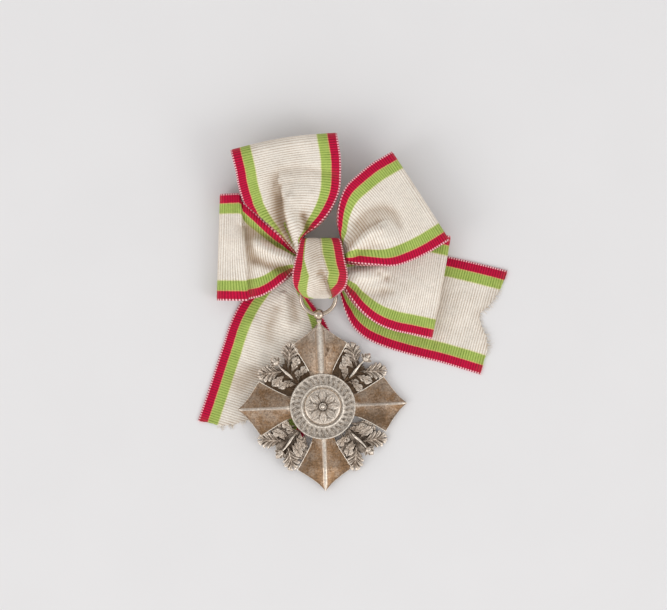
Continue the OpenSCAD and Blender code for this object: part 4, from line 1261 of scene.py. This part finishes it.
class ORDERCROSS_OT_knot(Builder, bpy.types.Operator):
    """Builds the band tied round the middle of the bow"""
    bl_idname = "order_cross.knot"
    bl_label = "Knot"

    def execute(self, context):
        silk = settings("ribbon")
        rows = smooth_row(KNOT_ROWS, np.arange(0, len(KNOT_ROWS), 0.01), ring=True)
        rows = np.vstack([rows, rows[:1]])
        middle = np.column_stack([(rows[:, 2] + rows[:, 3]) / 2, rows[:, 0], rows[:, 1]])
        gone = np.concatenate([[0], np.cumsum(np.linalg.norm(np.diff(middle, axis=0), axis=1))])
        length = gone[-1]

        def at(along, *columns):
            return (np.interp(along, gone, column) for column in columns)

        rib_count = round(length / silk.rib_pitch)
        turn = np.arange(4 * rib_count) / 4 / rib_count
        y, z, left, right = at(turn * length, *rows.T[:4])
        front = eased(z, 4.4, 7.0)
        place, depth, across = knot_section(y, right - left, front)
        front = front[:, None]
        share = place / (right - left)[:, None]
        bow = np.interp(share, [0, 0.16, 0.5, 0.75, 1], [0.9, 1.1, -0.7, -0.4, 0.0]) * front
        along = (turn[:, None] * length + bow) % length
        y, z, left, right, crown = at(along, *rows.T)
        distance = gone + np.arange(len(gone)) * 1e-9
        along_y, along_z = at(along, *(np.gradient(rows[:, k], distance) for k in (0, 1)))
        steep = np.maximum(np.hypot(along_y, along_z), 1e-6)
        x = left + (right - left) * share
        z = z - crown * (2 * share - 1) ** 2
        y, z = y + along_z / steep * depth, z - along_y / steep * depth
        z = z + front * marks_rise(x, y, KNOT_MARKS) * (depth > -0.1)
        points = np.stack([x, y, z], axis=-1)
        ribs = np.repeat(turn[:, None] * rib_count, share.shape[1], axis=1)
        # Painted shade: a little over all the front, more in its valleys, and much on the layers folded out
        # of sight
        soil = front * (0.1 + shade_and_soil_at(x, y, KNOT_MARKS)) + 0.6 * eased(-depth, 0.05, 0.5)
        obj = ribbon_object("knot", points, grid_normals(points, closed=True), across, ribs, soil,
                            closed=True)
        finish_ribbon(obj, "knot")
        return {"FINISHED"}


def arm_rows(metal):
    """Rows of an arm from under the medallion to its tip: place, half width and rise of the ridge."""
    neck, shoulder, tip = metal.medallion_r, metal.shoulder_reach, metal.arm_reach
    full = metal.ridge_height - metal.edge_height
    rows = []
    for r in np.linspace(neck - 2, shoulder, 15):
        t = max(0.0, (r - neck) / (shoulder - neck))
        rows.append((r, metal.neck_half + (metal.shoulder_half - metal.neck_half) * t ** 1.18, full))
    for r in np.linspace(shoulder, tip, 13)[1:]:
        t = max(0.0, 1 - (r - shoulder) / (tip - shoulder))
        rows.append((r, TIP_HALF + (metal.shoulder_half - TIP_HALF) * t ** 1.32,
                     TIP_RISE + (full - TIP_RISE) * t))
    return rows


def build_arm(metal, bead_half, bead_rise):
    """One arm that points up: its two hollow-ground faces, and what is worn bright and painted with a
    highlight on it, the rounded bead on its ridge and its two side edges."""
    rows = arm_rows(metal)
    edge = metal.edge_height
    blade = shaped_grid(rows, mirrored([(share, lift, edge) for share, lift in ARM_HOLLOW]))
    thickened_down(blade, 0.1, edge * 0.5)
    along = [row for row in rows if row[0] > metal.medallion_r + 0.1]
    ridge = [(0, place, edge + lift * 0.93) for place, _, lift in along]
    bright = [stem(ridge, [min(bead_half, half * 0.5) for _, half, _ in along], 20, bead_rise / bead_half)]
    radii = [0.13 if place <= metal.shoulder_reach + 0.01 else 0.08 for place, _, _ in along]
    for side in (-1, 1):
        bright.append(stem([(side * (half - 0.05), place, edge) for place, half, _ in along], radii))
    return blade, joined(bright)


def build_leaf(length, half, thick, lobes=1, veins=1, vein_rise=0.0, notch=0.1, forward=0.5):
    """A lobed leaf along +Y, widest past its middle, with a midrib and veins on both sides.
    notch is how deep the gaps between the lobes are, as a share of the half width, and forward
    how far the lobes point ahead."""
    count = max(lobes * 8, veins * 6, 12)
    rows = []
    for k in range(count + 1):
        t = k / count
        body = math.sin(math.pi * t ** 1.2) ** 0.65 if 0 < t < 1 else 0.0
        gap = ((1 + math.cos(math.tau * (t * lobes + 0.12))) / 2) ** 2.5
        width = max(0.08 * half, half * body * (1 - notch * gap))
        rows.append((length * 0.95 * t, width, math.cos(math.tau * (t * veins + 0.62))))
    columns = [(share, vein_rise * up, thick * high) for share, up, high in LEAF_SECTION]
    leaf = shaped_grid(rows, mirrored(columns), sweep=half * forward)
    thickened_down(leaf)
    smooth_by_angle(leaf, 50)
    return leaf


class ORDERCROSS_OT_arms(Builder, bpy.types.Operator):
    """Builds the four hollow-ground arms and the hub under the medallion"""
    bl_idname = "order_cross.arms"
    bl_label = "Arms"

    def execute(self, context):
        metal = settings("silver")
        top, side, bottom = (build_arm(metal, half, rise) for half, rise in RIDGE_BEADS)
        models = ((0, top), (90, side), (180, bottom), (270, side))
        arms = [copied(blade, turned(angle)) for angle, (blade, _) in models]
        beads = joined([copied(bead, turned(angle)) for angle, (_, bead) in models])
        deleted(*top, *side, *bottom)
        smooth_by_angle(beads, 60)
        # Worn bright ridges, with a painted highlight down their middle, the upper end painted brighter and
        # the side arms' beads painted dimmer as shade
        worn = material_of("Worn ridges", paint_silver, 1.2, 0.3, 0.05, RIDGE_SHADE, 1.15, 0.4)
        finish_on_cross(beads, "worn_ridges", worn, "cross_body")
        wide = metal.medallion_r + 0.06
        cutter = spun([(0, SEAT), (wide, SEAT), (wide, SEAT + 4), (0, SEAT + 4)], 96)
        arms = [cut_with(arm, cutter) for arm in arms]
        deleted(cutter)
        hub = spun([*HUB, (7.4, SEAT - 0.1), (7.3, SEAT - 0.01), (0, SEAT - 0.01)], 64)
        cross = joined([*arms, hub])
        smooth_by_angle(cross, 24)
        # Dull faces, painted a little brighter towards the upper end, with tarnish spots and patches of
        # painted shade and painted light
        dull = material_of("Dull struck silver", paint_silver, 0.12, 0.75, 0.06, ARM_TARNISH_AND_SHADE)
        finish_on_cross(cross, "cross_arms", dull, "cross_body")
        return {"FINISHED"}


class ORDERCROSS_OT_sprigs(Builder, bpy.types.Operator):
    """Builds the oak sprigs between the arms, with leaves, leaflets, stalks and acorns"""
    bl_idname = "order_cross.sprigs"
    bl_label = "Oak Sprigs"

    def execute(self, context):
        metal = settings("silver")
        leaf = build_leaf(metal.leaf_length * 0.8, metal.leaf_half, 0.95, lobes=5, veins=14,
                          vein_rise=0.09, notch=0.34, forward=0.75)
        leaflet = build_leaf(3.3, 1.0, 0.42, lobes=2, veins=6, vein_rise=0.05, notch=0.36, forward=1.0)
        bed = build_leaf(7.6, 2.5, 0.36, notch=0.0, forward=0.3)
        bract = build_leaf(1.7, 0.42, 0.5)
        acorn = joined([spun(profile, 20, (0, 1, 0)) for profile in (ACORN_CUP, ACORN_NUT)])
        smooth_by_angle(acorn, 45)
        parts, shade_sheet = [], []
        for corner, turn_a, turn_b, turn_c, stalk in SPRIGS:
            upper = abs(corner) < 90
            base = turned(corner)
            root = base @ moved(0, SPRIG_REACH, 0.1)
            tip = root @ turned(turn_c)
            parts.append(copied(leaf, root @ moved(0.3, 0.4, 0) @ turned(turn_a)))
            parts.append(copied(leaf, root @ moved(0.8, 0.1, 0) @ turned(turn_b)))
            parts.append(copied(acorn, tip @ moved(0, stalk - 1.6, 1.2) @ Matrix.Scale(0.9, 4)))
            for turn in (-58, -22, 30, 62):
                parts.append(copied(bract, tip @ moved(0, stalk - 1.3, 1.25) @ turned(turn)))
            line = [*STALK_ROOT, (-0.12, stalk * 0.35, 1.0), (0, stalk - 1.4, 1.2)]
            parts.append(placed(stem(line, STALK_RADII), tip))
            for x, y, z, turn, size in LEAFLETS[:6 if upper else None]:
                place = base @ moved(x, y, z + 0.3) @ turned(turn) @ Matrix.Scale(size, 4)
                parts.append(copied(leaflet, place))
            for side in (-1, 1):
                # Under the upper sprigs the thin leaves go into the dark sheet of painted shade
                for x, y, turn in UPPER_BEDS if upper else LOWER_BEDS:
                    place = base @ moved(side * x, y, 0) @ turned(-side * turn)
                    (shade_sheet if upper else parts).append(copied(bed, place))
                if not upper:
                    place = base @ moved(side * 1.5, 7.6, 0) @ turned(-side * 24)
                    parts.append(copied(leaf, place @ Matrix.Diagonal((1, 1, 0.5, 1))))
        deleted(leaf, leaflet, bed, bract, acorn)
        # The dark sheet behind the upper sprigs is painted shade, where the table lies in shadow between
        # the arms
        dark = material_of("Tarnished ground", paint_silver, 0.2, 1.0, stains=GROUND_SHADE)
        finish_on_cross(joined(shade_sheet), "sprig_ground", dark, "cross_body")
        cast = material_of("Tarnished cast silver", paint_silver, 0.72, 0.95)
        finish_on_cross(joined(parts), "oak_sprigs", cast, "cross_body")
        return {"FINISHED"}


class ORDERCROSS_OT_eye(Builder, bpy.types.Operator):
    """Builds the ball eye on top of the cross and its collar"""
    bl_idname = "order_cross.eye"
    bl_label = "Ball Eye"

    def execute(self, context):
        start = math.asin(EYE_HOLE_R / EYE_BALL_R)
        outside = [(EYE_BALL_R * math.sin(a), EYE_BALL_R * math.cos(a))
                   for a in np.linspace(start, math.pi - start, 14)]
        bore = [(EYE_HOLE_R, outside[-1][1]), (EYE_HOLE_R, outside[0][1]), outside[0]]
        ball = placed(spun([*outside, *bore], 40, (1, 0, 0)), moved(*EYE_PLACE))
        tip = settings("silver").arm_reach - 1.2
        collar = placed(spun(EYE_COLLAR, 24, (0, 1, 0)), moved(0, tip, 0.80))
        eye = joined([ball, collar])
        smooth_by_angle(eye, 40)
        finish_on_cross(eye, "ball_eye", worn_silver(), "cross_body")
        return {"FINISHED"}


def worn_silver():
    """The smooth silver of the eye and the ring."""
    return material_of("Worn silver", paint_silver, 0.46, 0.9, polish=1.0)


class ORDERCROSS_OT_ring(Builder, bpy.types.Operator):
    """Builds the suspension ring, a bent wire whose ends meet behind the knot"""
    bl_idname = "order_cross.ring"
    bl_label = "Suspension Ring"

    def execute(self, context):
        low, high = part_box("suspension_ring")
        ring_r = (high.x - low.x) / 2 / MM - RING_WIRE_R
        ring = upright_circle(14, RING_WIRE_R, ring_r)
        with editing(ring):
            bpy.ops.transform.resize(value=(0.97, 1, 1), center_override=(ring_r * MM, 0, 0))
            bpy.ops.mesh.spin(steps=88, angle=math.radians(RING_BENT), center=(0, 0, 0), axis=(0, 0, 1))
            bpy.ops.mesh.select_all(action="SELECT")
            bpy.ops.transform.rotate(value=math.radians(-90), orient_axis="Z", center_override=(0, 0, 0))
        clean_normals(ring)
        smooth_by_angle(ring, 50)
        ring.matrix_world = Matrix.Translation((low + high) / 2) @ turned(RING_LEAN, "X")
        finish_piece(ring, "suspension_ring_wire", worn_silver(), ("suspension_ring",))
        return {"FINISHED"}


class ORDERCROSS_OT_medallion_ring(Builder, bpy.types.Operator):
    """Builds the medallion's band: two rims and a wreath of small slanting leaves and berries"""
    bl_idname = "order_cross.medallion_ring"
    bl_label = "Medallion Ring"

    def execute(self, context):
        metal = settings("silver")
        low, top, field = MEDALLION_LOW, MEDALLION_TOP, MEDALLION_TOP - 0.45
        outer, inner, rim = metal.medallion_r, metal.disc_r + 0.35, 0.36
        outer_foot, inner_foot = outer - rim, inner + rim
        band = spun([
            (inner, low), (outer, low), (outer, top - 0.14), (outer - 0.07, top - 0.03),
            (outer - 0.18, top), (outer_foot, top - 0.04), (outer_foot - 0.08, field + 0.05),
            (outer_foot - 0.16, field), (inner_foot + 0.3, field), (inner_foot + 0.2, field + 0.05),
            (inner_foot + 0.1, top - 0.06), (inner_foot - 0.05, top + 0.02), (inner + 0.12, top + 0.02),
            (inner, top - 0.1), (inner, low)], 128)
        smooth_by_angle(band, 35)
        leaf = build_leaf(1.75, 0.30, 0.5)
        berry = spun(BERRY, 8)
        wreath_r = (outer + inner) / 2
        parts = [band]
        for k in range(metal.wreath_count):
            here, between = (turned(360 * (k + step) / metal.wreath_count) for step in (0, 0.5))
            parts.append(copied(leaf, here @ moved(wreath_r - 0.8, 0, field - 0.06) @ turned(-90 + 24)))
            parts.append(copied(berry, between @ moved(wreath_r + 0.62, 0.3, field - 0.06)))
        deleted(leaf, berry)
        struck = material_of("Struck medallion silver", paint_silver, 1.7, 0.62)
        finish_on_cross(joined(parts), "medallion_band", struck, "medallion_ring")
        return {"FINISHED"}


class ORDERCROSS_OT_medallion_disc(Builder, bpy.types.Operator):
    """Builds the middle disc with its rosette"""
    bl_idname = "order_cross.medallion_disc"
    bl_label = "Medallion Disc"

    def execute(self, context):
        metal = settings("silver")
        field, r = MEDALLION_TOP - 0.5, metal.disc_r
        disc = spun([
            (0, MEDALLION_LOW), (r + 0.25, MEDALLION_LOW), (r + 0.25, field - 0.2), (r + 0.08, field - 0.2),
            (r, field - 0.1), (r - 0.12, field + 0.08), (r - 0.35, field + 0.2), (r - 0.8, field + 0.28),
            (r - 1.6, field + 0.36), (0.9, field + 0.42), (0, field + 0.43)], 96)
        smooth_by_angle(disc, 35)
        petal, sepal = build_leaf(3.4, 0.85, 0.50), build_leaf(2.2, 0.55, 0.72)
        bead, boss = spun(BEAD, 12), spun(BOSS, 32)
        smooth_by_angle(bead, 60)
        smooth_by_angle(boss, 40)
        parts = [disc, copied(boss, moved(0, 0, field + 0.25))]
        slope = turned(-3.5, "X")
        for k in range(metal.petal_count):
            here, between = (turned(360 * (k + step) / metal.petal_count) for step in (0, 0.5))
            parts.append(copied(petal, here @ moved(0, 0.55, field + 0.3) @ slope))
            parts.append(copied(sepal, between @ moved(0, 0.55, field + 0.12) @ slope))
            parts.append(copied(bead, between @ moved(0, 3.45, field + 0.18)))
        deleted(petal, sepal, bead, boss)
        struck = material_of("Bright struck silver", paint_silver, 1.0, 0.8)
        finish_on_cross(joined(parts), "medallion_rosette", struck, "medallion_disc")
        return {"FINISHED"}


class ORDERCROSS_OT_pin(Builder, bpy.types.Operator):
    """Gives the brooch pin behind the knot its finish"""
    bl_idname = "order_cross.pin"
    bl_label = "Brooch Pin"

    def execute(self, context):
        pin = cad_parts["brooch_pin"]
        pin.data.materials.clear()
        pin.data.materials.append(material_of("Dull steel wire", paint_steel))
        return {"FINISHED"}


class ORDERCROSS_OT_stage(Builder, bpy.types.Operator):
    """Lays the pale table, and sets the light and the camera"""
    bl_idname = "order_cross.stage"
    bl_label = "Stage"

    def execute(self, context):
        stage = settings("stage")
        deselect()
        bpy.ops.mesh.primitive_plane_add(size=4, location=(0, 0, 0))
        table = bpy.context.object
        table.name = "table"
        table.data.materials.append(material_of("Pale table", paint_table))

        def set_up(name, data, place):
            obj = bpy.data.objects.new(name, data)
            obj.location = Vector(place) * MM
            context.scene.collection.objects.link(obj)
            return obj

        world = bpy.data.worlds.new("Soft room")
        context.scene.world = world
        room = Nodes(world)
        parts = room.split(room.make("TexCoord", output="Generated"))
        strength = room.times(*(room.remap(parts[axis], *limits) for axis, limits in ROOM_LIGHT))
        strength = room.times(strength, stage.sky)
        room.feed(room.shader, {"Color": (1.0, 0.995, 0.99, 1), "Strength": strength})
        x, y, z = LIGHT_PLACE
        for name, side in (("left_light", -1), ("right_light", 1)):
            lamp = bpy.data.lights.new(name, "AREA")
            lamp.energy = stage.key_power
            lamp.size = 0.5
            light = set_up(name, lamp, (side * x, y, z))
            light.rotation_euler = (-light.location).to_track_quat("-Z", "Y").to_euler()
        lens = bpy.data.cameras.new("camera")
        lens.lens = lens.sensor_width * stage.camera_height / stage.frame_width
        lens.clip_end = 10
        context.scene.camera = set_up("camera", lens, (*CAMERA_OVER, stage.camera_height))
        context.scene.view_settings.view_transform = "Standard"
        return {"FINISHED"}


BUILD_ORDER = (
    ORDERCROSS_OT_stage, ORDERCROSS_OT_tails, ORDERCROSS_OT_loops, ORDERCROSS_OT_knot, ORDERCROSS_OT_ring,
    ORDERCROSS_OT_arms, ORDERCROSS_OT_sprigs, ORDERCROSS_OT_eye, ORDERCROSS_OT_medallion_ring,
    ORDERCROSS_OT_medallion_disc, ORDERCROSS_OT_pin)


class ORDERCROSS_PT_panel(bpy.types.Panel):
    """Lists the operators and the sizes"""
    bl_label = "Order Cross"
    bl_idname = "ORDERCROSS_PT_panel"
    bl_space_type = "VIEW_3D"
    bl_region_type = "UI"
    bl_category = "Order Cross"

    def draw(self, context):
        for operator in BUILD_ORDER:
            self.layout.operator(operator.bl_idname)
        for kind, group in GROUPS.items():
            box = self.layout.box()
            for name in group.__annotations__:
                box.prop(getattr(context.scene, "order_cross_" + kind), name)


CLASSES = (*GROUPS.values(), *BUILD_ORDER, ORDERCROSS_PT_panel)


def register():
    for cls in CLASSES:
        bpy.utils.register_class(cls)
    for kind, group in GROUPS.items():
        setattr(bpy.types.Scene, "order_cross_" + kind, PointerProperty(type=group))


def unregister():
    for kind in GROUPS:
        delattr(bpy.types.Scene, "order_cross_" + kind)
    for cls in reversed(CLASSES):
        bpy.utils.unregister_class(cls)


def main():
    register()
    for operator in BUILD_ORDER:
        group, name = operator.bl_idname.split(".")
        getattr(getattr(bpy.ops, group), name)()


if __name__ == "__main__":
    main()
